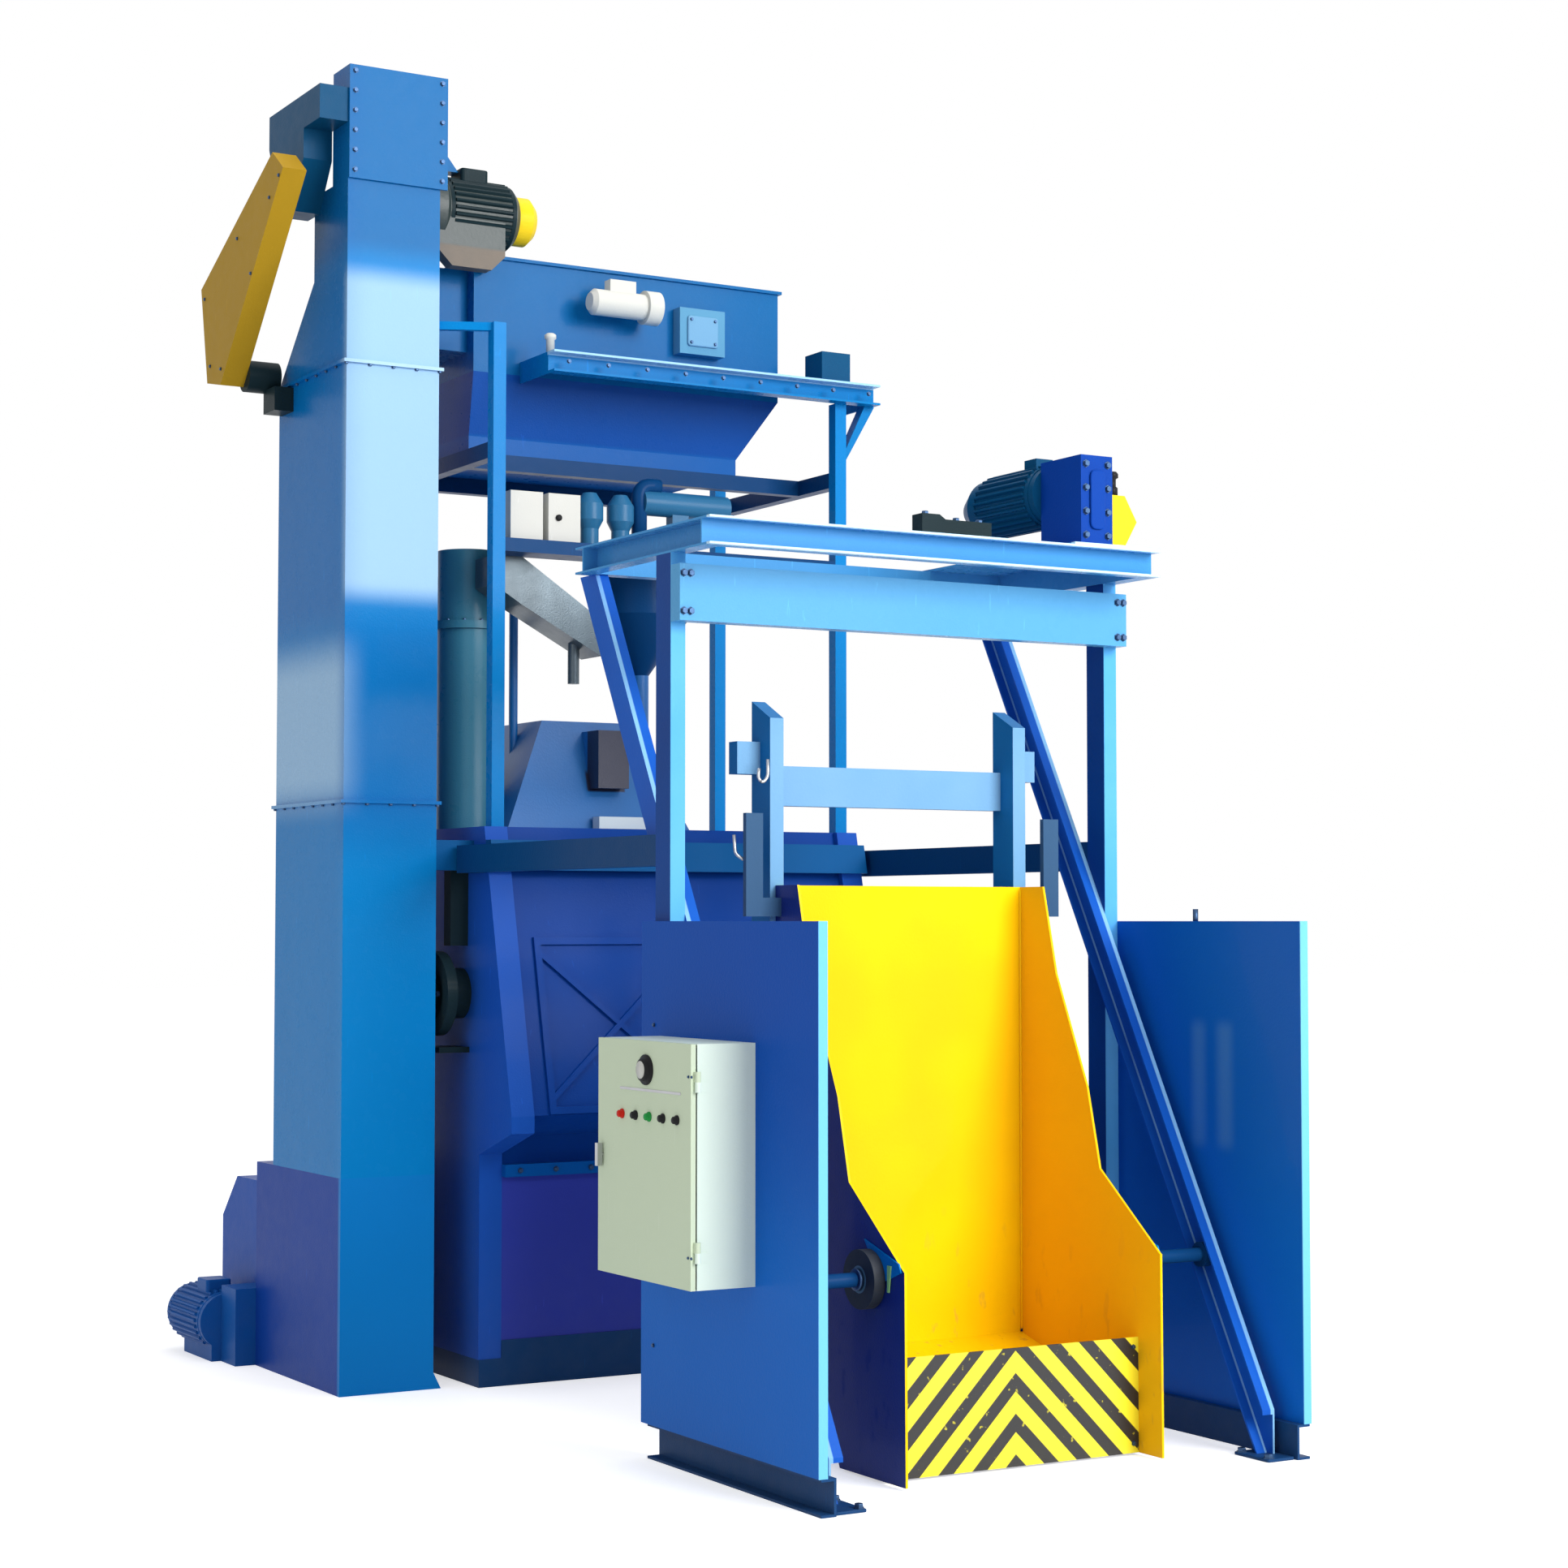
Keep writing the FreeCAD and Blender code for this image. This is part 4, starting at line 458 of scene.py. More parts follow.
def housingFinish():
    # blue housing with its dark hatch and the white strip below the hatch
    made = Finish("wheelHousingPaint")
    low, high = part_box("blast_wheel_housing")
    hatch = made.within((-0.250, low[1] - 0.1, 2.18), (-0.090, low[1] + 0.13, 2.42), 0.004)
    strip = made.within((-0.26, low[1] - 0.1, 2.02), (-0.03, low[1] + 0.055, 2.086), 0.003)
    clouds = made.noise(3.0, 3.0)
    colour = made.mix(clouds, rgba((0.003, 0.105, 0.350)), rgba((0.005, 0.160, 0.480)))
    colour = made.mix(hatch, colour, rgba((0.010, 0.014, 0.045)))
    colour = made.mix(strip, colour, rgba((0.62, 0.72, 0.76)))
    made.paint("colour", colour)
    made.paint("rough", 0.34 + clouds * 0.1)
    made.bump(made.noise(120.0, 2.0), 0.0005)
    return made


def guardFinish():
    # deep blue sheets with painted light: lighter towards the bottom and on the right one's inner faces,
    # paler upright marks on the right one as painted reflections and a painted highlight along the rear edge
    made = Finish("sideGuardPaint")
    low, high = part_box("side_guards")
    clouds = made.noise(1.3, 2.0)
    # painted light: the sheets lighter towards the bottom
    lower = (made.z.over(1.25, 0.55) + (clouds - 0.5) * 0.4).clamped()
    colour = made.mix(lower, rgba((0.001, 0.070, 0.400)), rgba((0.003, 0.125, 0.520)))
    # painted light: the right sheet lighter on its inner faces
    inner = made.within((0.5, -4, -1), (high[0] - 0.002, 0, 3), 0.0005)
    colour = made.mix(inner * 0.6, colour, rgba((0.006, 0.150, 0.640)))
    # paler upright marks on the right sheet: painted reflections
    for start, end in ((-2.74, -2.67), (-2.60, -2.54)):
        mark = made.within((0.5, start, 0.95), (high[0] - 0.002, end, 1.35), 0.03) * 0.35
        colour = made.mix(mark.clamped(), colour, rgba((0.10, 0.30, 0.62)))
    # painted highlight along the rear edge
    edge = made.y.over(low[1] + 0.004, low[1] + 0.002)
    colour = made.mix(edge, colour, rgba((0.16, 0.52, 0.90)))
    made.paint("colour", colour)
    made.paint("rough", 0.34 + clouds * 0.08)
    made.set(coat=0.03, sheen=0.06)
    made.bump(made.noise(120.0, 2.0) + made.noise(2.5, 1.0) * 6, 0.0006)
    return made


def postFinish():
    # painted light on the gantry's posts: bright front faces as painted highlight and deep blue sides as
    # painted shade, as the posts show them
    made = Finish("gantryPaint")
    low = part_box("gantry_posts")[0]
    clouds = made.noise(2.5, 3.0)
    side = made.mix(clouds, rgba((0.003, 0.035, 0.20)), rgba((0.004, 0.070, 0.32)))
    front = made.mix(clouds, rgba((0.05, 0.34, 0.72)), rgba((0.16, 0.50, 0.86)))
    face = made.y.over(low[1] + 0.003, low[1] + 0.001)
    made.paint("colour", made.mix(face, side, front))
    made.paint("rough", 0.30 + clouds * 0.1)
    made.set(sheen=0.06)
    made.bump(made.noise(120.0, 2.0), 0.0004)
    return made


def frameFinish():
    # painted light on the skip's arms: pale front faces as painted highlight and mid-blue sides as painted
    # shade
    made = Finish("skipFramePaint")
    nx, ny, nz = made.facing()
    clouds = made.noise(2.5, 3.0)
    side = made.mix(clouds, rgba((0.006, 0.120, 0.340)), rgba((0.012, 0.170, 0.430)))
    front = made.mix(clouds, rgba((0.13, 0.33, 0.56)), rgba((0.22, 0.43, 0.68)))
    made.paint("colour", made.mix((-ny).over(0.4, 0.7), side, front))
    made.paint("rough", 0.30 + clouds * 0.1)
    made.set(sheen=0.06)
    made.bump(made.noise(120.0, 2.0), 0.0004)
    return made


def railFinish():
    # deep blue channels with a painted highlight: a bright stripe along the outer edge of the front flange
    made = Finish("railPaint")
    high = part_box("rails")[1]
    nx, ny, nz = made.facing()
    stripe = abs(made.x).over(high[0] - 0.017, high[0] - 0.013) * (-ny).over(0.5, 0.8)
    stripe = stripe * made.noise(2.2, 2.0).over(0.2, 0.5)
    clouds = made.noise(2.0, 3.0)
    colour = made.mix(clouds, rgba((0.008, 0.070, 0.40)), rgba((0.010, 0.130, 0.60)))
    colour = made.mix(stripe * 0.75, colour, rgba((0.30, 0.62, 0.90)))
    made.paint("colour", colour)
    made.paint("rough", 0.30 + clouds * 0.1)
    made.set(sheen=0.08)
    made.bump(made.noise(120.0, 2.0), 0.0004)
    return made


finishes.update({
    "posts": postFinish(), "rails": railFinish(), "frame": frameFinish(),
    "skip": skipFinish(), "stripes": stripeFinish(), "wheel": wheelFinish(), "gearMotor": gearMotorFinish(),
    "housing": housingFinish(), "guards": guardFinish(),
})

nodeFinish = {
    "belt_drive": "dark", "belt_guard": "mustard", "belt_motor": "dark", "blast_wheel_housing": "housing",
    "boot_motor": "bootMotor", "boot_tail": "tail", "cabinet_box": "cabinet", "cabinet_door": "cabinetDoor",
    "cabinet_latch": "steel", "cabinet_panel": "grey", "cap_beam": "cap", "chamber_base": "navy",
    "chamber_body": "door", "chamber_jambs": "jamb", "control_boxes": "inspect", "door_ribs": "door",
    "elevator_boot": "boot", "elevator_head": "casing", "elevator_lower_casing": "casing",
    "elevator_upper_casing": "casing", "feed_trough": "trough", "front_door": "door", "front_ledge": "mid",
    "gantry_posts": "posts", "guard_feet": "navy", "head_bearing": "teal", "head_fan_cap": "warning",
    "head_gear_motor": "gearMotor", "hoist_bearing": "dark", "hoist_coupling_guard": "warning",
    "hoist_gearbox": "boot", "hoist_motor": "teal", "lintel": "lintel", "lower_panel": "indigo",
    "platform": "platform", "platform_box": "teal", "rails": "rails", "separator_box": "upper",
    "separator_funnel": "funnel", "separator_motor": "cream", "shot_hopper": "navy",
    "side_guards": "guards", "skip_axles": "navy", "skip_bucket": "skip", "skip_frame": "frame",
    "skip_front_plate": "stripes", "skip_hangers": "hanger", "skip_wheel_left": "wheel",
    "skip_wheel_right": "wheel", "tie_beams": "navy", "top_frame": "frameTop", "tower_beams": "navy",
    "tower_posts": "blue", "tower_valves": "valve", "vent_duct": "duct"
}
for name, node in nodes.items():
    node.data.materials.clear()
    node.data.materials.append(finishes[nodeFinish[name]].material)
print("finishes on", len(nodes), "nodes")

# meshes from arrays


def meshPiece(name, points, faces, body, finish, smooth=True):
    mesh = bpy.data.meshes.new(name)
    mesh.from_pydata(points.tolist(), [], faces.tolist())
    mesh.polygons.foreach_set("use_smooth", [smooth] * len(mesh.polygons))
    mesh.materials.append(finishes[finish].material)
    piece = bpy.data.objects.new(name, mesh)
    bpy.context.collection.objects.link(piece)
    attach(piece, body)
    return piece


def gridFaces(rows, columns):
    # quads between neighbouring rings of a grid whose columns close on themselves
    row, column = np.meshgrid(np.arange(rows - 1), np.arange(columns), indexing="ij")
    after = (column + 1) % columns
    quads = np.stack(
        [
            row * columns + column, row * columns + after, (row + 1) * columns + after,
            (row + 1) * columns + column
        ],
        -1
    )
    return quads.reshape(-1, 4)


def repeated(points, faces, places):
    # the same small shape at every place: points plus each place, face numbers stepped on
    count = len(points)
    allPoints = (places[:, None, :] + points[None, :, :]).reshape(-1, 3)
    steps = (np.arange(len(places)) * count)[:, None, None]
    return allPoints, (faces[None, :, :] + steps).reshape(-1, faces.shape[1])


axes = {"x": [2, 0, 1], "y": [1, 2, 0], "z": [0, 1, 2]}


def turnedTo(points, axis, sign=1):
    # a shape made about z is turned so that its z runs along the axis, or against it
    shaped = points.copy()
    if sign < 0:
        shaped[:, 2] *= -1
        shaped[:, 1] *= -1
    return shaped[:, axes[axis]]


def revolved(profile, sides):
    # radius and height carried round the axis: (r cos t, r sin t, h)
    profile = np.array(profile, float)
    angle = np.linspace(0, 2 * math.pi, sides, endpoint=False)
    radius, height = profile[:, 0][:, None], profile[:, 1][:, None]
    points = np.stack([radius * np.cos(angle), radius * np.sin(angle), height + 0 * angle], -1)
    return points.reshape(-1, 3), gridFaces(len(profile), sides)


def turnedPiece(name, profile, place, axis, sign, body, finish, sides=40):
    points, faces = revolved(profile, sides)
    return meshPiece(name, turnedTo(points, axis, sign) + np.array(place), faces, body, finish)


def boltPiece(name, places, axis, sign, size, body, finish="darkSteel"):
    # washer and hexagon head: rings of six corners at falling radii, closed on top
    washer, head = size * 1.25, size
    profile = [
        (washer, 0), (washer, size * 0.2), (head, size * 0.2), (head, size * 0.8), (head * 0.85, size),
        (0.0001, size)
    ]
    points, faces = revolved(profile, 6)
    points = turnedTo(points, axis, sign)
    allPoints, allFaces = repeated(points, faces, np.array(places, float).reshape(-1, 3))
    return meshPiece(name, allPoints, allFaces, body, finish, smooth=False)


def ringPath(width, depth, radius, steps=4):
    # corners of a rounded rectangle: quarter arcs about four centres
    quarter = np.linspace(0, math.pi / 2, steps)
    centres = np.array([(1, 1), (-1, 1), (-1, -1), (1, -1)]) * (np.array([width, depth]) / 2 - radius)
    turns = np.arange(4)[:, None] * math.pi / 2 + quarter[None, :]
    points = centres[:, None, :] + radius * np.stack([np.cos(turns), np.sin(turns)], -1)
    return points.reshape(-1, 2)


def softBox(name, low, high, axis, body, finish, round=0.012, edge=0.005):
    # a box with rounded corners and softened ends: rings of a rounded rectangle, drawn in at both ends
    low, high = np.array(low, float), np.array(high, float)
    order = axes[axis]
    inverse = np.argsort(order)
    size = (high - low)[inverse]
    middle = ((high + low) / 2)[inverse]
    rings = []
    for inset, level in (
        (round, 0.0), (edge, 0.0), (edge * 0.3, edge * 0.3), (0.0, edge), (0.0, size[2] - edge),
        (edge * 0.3, size[2] - edge * 0.3), (edge, size[2]), (round, size[2])
    ):
        ring = ringPath(size[0] - 2 * inset, size[1] - 2 * inset, max(round - inset, 0.0005))
        rings.append(np.column_stack([ring, np.full(len(ring), level - size[2] / 2)]))
    centreLow = np.column_stack([rings[0][:, :2] * 0.001, rings[0][:, 2]])
    centreHigh = np.column_stack([rings[-1][:, :2] * 0.001, rings[-1][:, 2]])
    stack = np.array([centreLow] + rings + [centreHigh])
    points = (stack.reshape(-1, 3) + middle)[:, order]
    return meshPiece(name, points, gridFaces(len(stack), stack.shape[1]), body, finish, smooth=False)


def tubePiece(name, path, radius, body, finish, sides=14):
    # a round bar along a path: circles across the path, with both ends drawn to a point
    path = np.array(path, float)
    along = np.gradient(path, axis=0)
    along /= np.linalg.norm(along, axis=1)[:, None]
    spread = path.max(0) - path.min(0)
    reference = np.eye(3)[int(np.argmin(spread))]
    across = np.cross(along, reference)
    across /= np.linalg.norm(across, axis=1)[:, None]
    upward = np.cross(along, across)
    angle = np.linspace(0, 2 * math.pi, sides, endpoint=False)
    cosine, sine = np.cos(angle)[None, :, None], np.sin(angle)[None, :, None]
    circle = across[:, None, :] * cosine + upward[:, None, :] * sine
    rings = path[:, None, :] + circle * radius
    ends = [path[0] + circle[0] * 0.0001, path[-1] + circle[-1] * 0.0001]
    stack = np.concatenate([ends[0][None], rings, ends[1][None]])
    return meshPiece(name, stack.reshape(-1, 3), gridFaces(len(stack), sides)[:, ::-1], body, finish)


def curvedPath(corners, bend, steps=7):
    # straight runs with quadratic bends at the corners: (1-t)^2 a + 2t(1-t) b + t^2 c
    corners = np.array(corners, float)
    t = np.linspace(0, 1, steps)[:, None]
    parts = [corners[:1]]
    for before, corner, after in zip(corners[:-2], corners[1:-1], corners[2:]):
        start = corner + (before - corner) / np.linalg.norm(before - corner) * bend
        end = corner + (after - corner) / np.linalg.norm(after - corner) * bend
        parts.append((1 - t) ** 2 * start + 2 * t * (1 - t) * corner + t ** 2 * end)
    parts.append(corners[-1:])
    return np.concatenate(parts)


def finnedPiece(
    name, place, axis, sign, length, radius, body, finish, fins=30, depth=0.012, gap=0.35
):
    # a motor barrel: the radius rises and falls with the angle in square waves, with plain collars
    sides = fins * 4
    angle = np.linspace(0, 2 * math.pi, sides, endpoint=False)
    crest = (np.arange(sides) % 4 < 2).astype(float)
    levels = np.array([0, 0, 0.06, 0.06, 0.94, 0.94, 1, 1]) * length
    shares = np.array([0.0, 0, 0, 1, 1, 0, 0, 0.0])
    rings = (radius - depth * gap) + depth * shares[:, None] * (crest[None, :] - gap)
    rings[0] = 0.001
    rings[-1] = 0.001
    points = np.stack(
        [rings * np.cos(angle), rings * np.sin(angle), levels[:, None] + 0 * angle], -1
    ).reshape(-1, 3)
    return meshPiece(
        name, turnedTo(points, axis, sign) + np.array(place), gridFaces(len(levels), sides), body, finish,
        smooth=False
    )


def span(start, end, count):
    return np.linspace(start, end, count)


# bolts along the flanges of the elevator

flangeBolts = {"size": 0.009, "pitch": 0.09, "inset": 0.012}


def flangeRing(low, high, level):
    # places along the four sides of a flange
    inset = flangeBolts["inset"]
    x0, x1, y0, y1 = low[0] + inset, high[0] - inset, low[1] + inset, high[1] - inset
    countX = int((x1 - x0) / flangeBolts["pitch"]) + 1
    countY = int((y1 - y0) / flangeBolts["pitch"]) + 1
    sides = [(x, y, level) for x in span(x0, x1, countX) for y in (y0, y1)]
    sides += [(x, y, level) for y in span(y0, y1, countY)[1:-1] for x in (x0, x1)]
    return sides


for name in ("elevator_lower_casing", "elevator_upper_casing"):
    low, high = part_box(name)
    places = flangeRing(low, high, high[2] - 0.012)
    boltPiece(name + "_bolts", places, "z", -1, flangeBolts["size"] * 0.8, "machine")

headLow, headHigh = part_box("elevator_head")
headFace = headLow[1]
coverBolts = {"size": 0.009, "inset": 0.022, "count": 6, "bottom": 4.40, "side": 0.014, "width": 0.385}
coverX0 = elevatorLow[0] + coverBolts["side"]
coverX1 = coverX0 + coverBolts["width"]
places = [(x, headFace, z) for x in (coverX0 + coverBolts["inset"], coverX1 - coverBolts["inset"])
          for z in span(coverBolts["bottom"], headHigh[2] - coverBolts["inset"], coverBolts["count"])]
boltPiece("head_cover_bolts", places, "y", -1, coverBolts["size"], "machine")
print("elevator bolts done")

# cabinet controls

controls = {
    "dial": (-2.44, 1.24), "dialRadius": 0.034, "row": 1.101, "rowStart": -2.285, "pitch": 0.088,
    "lampRadius": 0.011, "lampFinishes": ("red", "black", "green", "black", "black"),
    "plate": ((-2.66, 1.175), (-2.27, 1.183)),
}
doorLow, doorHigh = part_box("cabinet_door")
doorFace = doorLow[0]


def roundControl(name, y, z, radius, reach, finish):
    profile = [(0.0001, 0), (radius * 1.35, 0), (radius * 1.35, reach * 0.25), (radius * 1.1, reach * 0.35),
               (radius, reach * 0.4), (radius, reach * 0.85), (radius * 0.8, reach), (0.0001, reach)]
    return turnedPiece(
        name, profile, (doorFace, y, z), "x", -1, "cabinet_door", finish, 28
    )


finishes["red"] = paintFinish("lampRed", (0.60, 0.02, 0.01), rough=0.2, cloud=0.05, dust=0.0, scratches=0.0)
finishes["green"] = paintFinish(
    "lampGreen", (0.02, 0.30, 0.06), rough=0.2, cloud=0.05, dust=0.0, scratches=0.0
)
finishes["black"] = paintFinish(
    "blackPlastic", (0.02, 0.02, 0.022), rough=0.35, cloud=0.1, dust=0.0, scratches=0.0
)
roundControl("cabinet_dial", *controls["dial"], controls["dialRadius"], 0.020, "black")
face = controls["dialRadius"] * 0.78
turnedPiece("cabinet_dial_face", [(0.0001, 0.020), (face, 0.020), (face, 0.0215), (0.0001, 0.0215)],
            (doorFace, *controls["dial"]), "x", -1, "cabinet_door", "cream", 32)
for index, finish in enumerate(controls["lampFinishes"]):
    roundControl(
        "cabinet_lamp_%d" % index, controls["rowStart"] - index * controls["pitch"], controls["row"],
        controls["lampRadius"], 0.016, finish
    )
(plateStart, plateLow), (plateEnd, plateHigh) = controls["plate"]
softBox(
    "cabinet_label_strip", (doorFace - 0.0015, plateStart, plateLow), (doorFace, plateEnd, plateHigh), "x",
    "cabinet_door", "steel", round=0.003, edge=0.0005
)
hinge = {"lift": 0.0002, "columns": (0.012, 0.032), "edge": 0.095, "size": 0.004}
places = [(doorLow[0] - hinge["lift"], doorLow[1] + column, z) for column in hinge["columns"]
          for z in (doorLow[2] + hinge["edge"], doorHigh[2] - hinge["edge"])]
boltPiece("cabinet_hinge_screws", places, "x", -1, hinge["size"], "cabinet_door")
print("cabinet controls done")

# motors

motors = {
    "head": {"start": 0.085, "length": 0.265, "radius": 0.128, "fins": 30, "shaft": (0.15, -0.15)},
    "hoist": {"start": 0.03, "length": 0.34, "radius": 0.107, "fins": 28},
    "boot": {"start": 0.03, "length": 0.36, "radius": 0.111, "fins": 28, "clear": 0.128},
}
gearLow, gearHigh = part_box("head_gear_motor")
gearY, gearZ = gearLow[1] + motors["head"]["shaft"][0], gearHigh[2] + motors["head"]["shaft"][1]
finnedPiece(
    "head_motor_fins", (gearLow[0] + motors["head"]["start"], gearY, gearZ), "x", 1,
    motors["head"]["length"], motors["head"]["radius"], "machine", "dark",
    motors["head"]["fins"]
)
softBox(
    "head_motor_terminals", (gearLow[0] + 0.15, gearY - 0.06, gearZ + 0.11),
    (gearLow[0] + 0.26, gearY + 0.05, gearZ + 0.165), "z", "machine", "dark"
)
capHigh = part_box("head_fan_cap")[1]
turnedPiece(
    "head_fan_grille",
    [
        (0.0001, 0), (0.024, 0), (0.026, 0.003), (0.030, 0.003), (0.032, 0), (0.044, 0), (0.046, 0.003),
        (0.050, 0.003), (0.052, 0), (0.0001, -0.001)
    ],
    (capHigh[0], gearY, gearZ), "x", 1, "machine", "black", 36
)
hoistLow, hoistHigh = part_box("hoist_motor")
hoistX, hoistZ = (hoistLow[0] + hoistHigh[0]) / 2, hoistLow[2] + 0.10
finnedPiece(
    "hoist_motor_fins", (hoistX, hoistLow[1] + motors["hoist"]["start"], hoistZ), "y", 1,
    motors["hoist"]["length"], motors["hoist"]["radius"], "machine", "teal",
    motors["hoist"]["fins"]
)
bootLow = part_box("boot_motor")[0]
bootX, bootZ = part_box("boot_tail")[0][0] - motors["boot"]["clear"], bootLow[2] + 0.15
finnedPiece(
    "boot_motor_fins", (bootX, bootLow[1] + 0.16 + motors["boot"]["start"], bootZ), "y", 1,
    motors["boot"]["length"], motors["boot"]["radius"], "machine", "bootMotor",
    motors["boot"]["fins"]
)
softBox(
    "boot_motor_terminals", (bootX - 0.05, bootLow[1] + 0.25, bootZ + 0.095),
    (bootX + 0.05, bootLow[1] + 0.37, bootZ + 0.15), "z", "machine", "bootMotor"
)
print("motors done")

# hoist fittings

hoist = {
    "pinRadius": 0.020, "pinTop": 0.085, "gearBolt": 0.011, "boltEdge": (0.02, 0.03), "boltRows": 4,
    "coverEdge": (0.035, 0.05), "coverThickness": 0.010,
    # distance from the block's left end and drop below its top
    "bearingBolts": ((0.03, 0.0), (0.15, 0.015), (0.24, 0.015)),
    "bearingBolt": 0.012,
}
boxLow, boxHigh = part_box("hoist_gearbox")
guardLow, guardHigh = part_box("hoist_coupling_guard")
pin = hoist["pinRadius"]
turnedPiece(
    "hoist_pin",
    [
        (0.0001, 0), (pin, 0), (pin, 0.03), (pin * 0.7, 0.035), (pin * 0.7, 0.06), (pin * 1.1, 0.065),
        (pin * 1.1, hoist["pinTop"] - 0.008), (pin * 0.8, hoist["pinTop"]), (0.0001, hoist["pinTop"])
    ],
    (guardLow[0] + 0.028, guardLow[1] + 0.04, guardHigh[2]), "z", 1, "machine", "black", 24
)
edgeX, edgeZ = hoist["boltEdge"]
places = [(x, boxLow[1], z) for x in (boxLow[0] + edgeX, boxHigh[0] - edgeX)
          for z in span(boxLow[2] + edgeZ, boxHigh[2] - edgeZ, hoist["boltRows"])]
boltPiece("hoist_gear_bolts", places, "y", -1, hoist["gearBolt"], "machine")
edgeX, edgeZ = hoist["coverEdge"]
softBox(
    "hoist_gear_cover", (boxLow[0] + edgeX, boxLow[1] - hoist["coverThickness"], boxLow[2] + edgeZ),
    (boxHigh[0] - edgeX, boxLow[1], boxHigh[2] - edgeZ), "y", "machine", "boot", round=0.02,
    edge=0.004
)
blockLow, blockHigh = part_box("hoist_bearing")
blockY = (blockLow[1] + blockHigh[1]) / 2
places = [(blockLow[0] + x, blockY, blockHigh[2] - drop) for x, drop in hoist["bearingBolts"]]
boltPiece("hoist_bearing_bolts", places, "z", 1, hoist["bearingBolt"], "machine")
print("hoist done")

# gantry, guards and rails

lintelLow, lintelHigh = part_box("lintel")
lintelBolts = {"insets": (0.014, 0.038), "edge": 0.03, "size": 0.011}
places = [(side * (lintelHigh[0] - inset), lintelLow[1], z)
          for side in (-1, 1) for inset in lintelBolts["insets"]
          for z in (lintelLow[2] + lintelBolts["edge"], lintelHigh[2] - lintelBolts["edge"])]
boltPiece("lintel_bolts", places, "y", -1, lintelBolts["size"], "machine")
sheetLow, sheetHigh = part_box("side_guards")
guardBolts = {"size": 0.006, "rear": 0.085, "levels": (0.25, 0.75, 1.25)}
for side, sign in (("left", -1), ("right", 1)):
    rear = sheetHigh[1] - guardBolts["rear"]
    places = [(sign * sheetHigh[0], rear, sheetLow[2] + level) for level in guardBolts["levels"]]
    boltPiece(side + "_guard_bolts", places, "x", sign, guardBolts["size"], "machine")
guardPeg = {"place": (0.887, -2.541), "levels": (-0.004, 0.012, 0.040), "radius": 0.009}
pegPath = [(*guardPeg["place"], sheetHigh[2] + level) for level in guardPeg["levels"]]
tubePiece("guard_peg", pegPath, guardPeg["radius"], "machine", "darkSteel")

footPlate = {
    "thickness": 0.010, "inner": 0.735, "outer": 0.842, "front": -3.075, "rear": -2.905, "floorGap": 0.0005,
    "anchors": ((0.752, -3.055), (0.752, -2.925)), "bolt": 0.014,
}
for side, sign in (("left", -1), ("right", 1)):
    x0, x1 = sorted((sign * footPlate["inner"], sign * footPlate["outer"]))
    softBox(
        side + "_rail_foot", (x0, footPlate["front"], footPlate["floorGap"]),
        (x1, footPlate["rear"], footPlate["thickness"]), "z", "machine", "navy", round=0.008,
        edge=0.002
    )
    places = [(sign * x, y, footPlate["thickness"]) for x, y in footPlate["anchors"]]
    boltPiece(side + "_rail_anchors", places, "z", 1, footPlate["bolt"], "machine")
print("gantry done")

# skip fittings

fitting = {
    "wedge": (
        (-2.655, 0.722), (-2.672, 0.700), (-2.745, 0.600), (-2.790, 0.612), (-2.862, 0.640), (-2.850, 0.665)
    ),
    "strip": ((-2.792, 0.655), (-2.792, 0.575), (-2.800, 0.575), (-2.812, 0.655)), "stripStep": 0.004,
    "thickness": 0.005, "weld": 0.0045, "corner": 0.010, "seamFoot": 0.31, "seamPoints": 60,
    "hook": (
        (-0.640, -2.124, 1.960), (-0.636, -2.124, 1.900), (-0.600, -2.124, 1.878), (-0.562, -2.124, 1.888),
        (-0.556, -2.124, 1.905)
    ),
    "shackle": (
        (-0.512, -2.118, 2.205), (-0.512, -2.118, 2.150), (-0.530, -2.118, 2.128), (-0.548, -2.118, 2.142),
        (-0.545, -2.118, 2.175)
    ),
    "hookBar": 0.0055, "hookBend": 0.014, "shackleBend": 0.012, "plateBolt": 0.007,
    "plateEdge": (0.02, 0.03)
}
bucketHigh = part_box("skip_bucket")[1]


def platePiece(name, outline, x, thickness, body, finish):
    # a flat plate: an outline of (y, z) corners carried a thickness along x, both faces closed to the middle
    outline = np.array(outline, float)
    middle = outline.mean(0)
    rings = [middle + (outline - middle) * 0.001, outline, outline, middle + (outline - middle) * 0.001]
    levels = [x, x, x + thickness, x + thickness]
    stack = np.array(
        [np.column_stack([np.full(len(outline), level), ring]) for ring, level in zip(rings, levels)]
    )
    faces = gridFaces(len(stack), len(outline))
    return meshPiece(name, stack.reshape(-1, 3), faces, body, finish, smooth=False)


# a lime-green strip on each axle plate: painted highlight on the axle bracket
finishes["axleHighlight"] = paintFinish("axleHighlightPaint", (0.30, 0.60, 0.22), rough=0.4, scratches=0.1)
for side, sign in (("left", -1), ("right", 1)):
    face = sign * bucketHigh[0] + (0 if sign > 0 else -fitting["thickness"])
    platePiece(
        side + "_axle_plate", fitting["wedge"], face, fitting["thickness"], "skip", "blue"
    )
    platePiece(
        side + "_axle_highlight_strip", fitting["strip"], face + sign * fitting["stripStep"], fitting["thickness"],
        "skip", "axleHighlight"
    )
    count, inset = fitting["seamPoints"], fitting["corner"]
    seam = np.column_stack(
        [
            np.full(count, sign * (bucketHigh[0] - inset)), np.full(count, bucketHigh[1] - inset),
            span(fitting["seamFoot"], bucketHigh[2] - inset, count)
        ]
    )
    tubePiece(side + "_corner_weld", seam, fitting["weld"], "skip", "skip", 8)
for name in ("hook", "shackle"):
    tubePiece(
        "left_" + name, curvedPath(fitting[name], fitting[name + "Bend"]), fitting["hookBar"], "skip",
        "steel", 10
    )
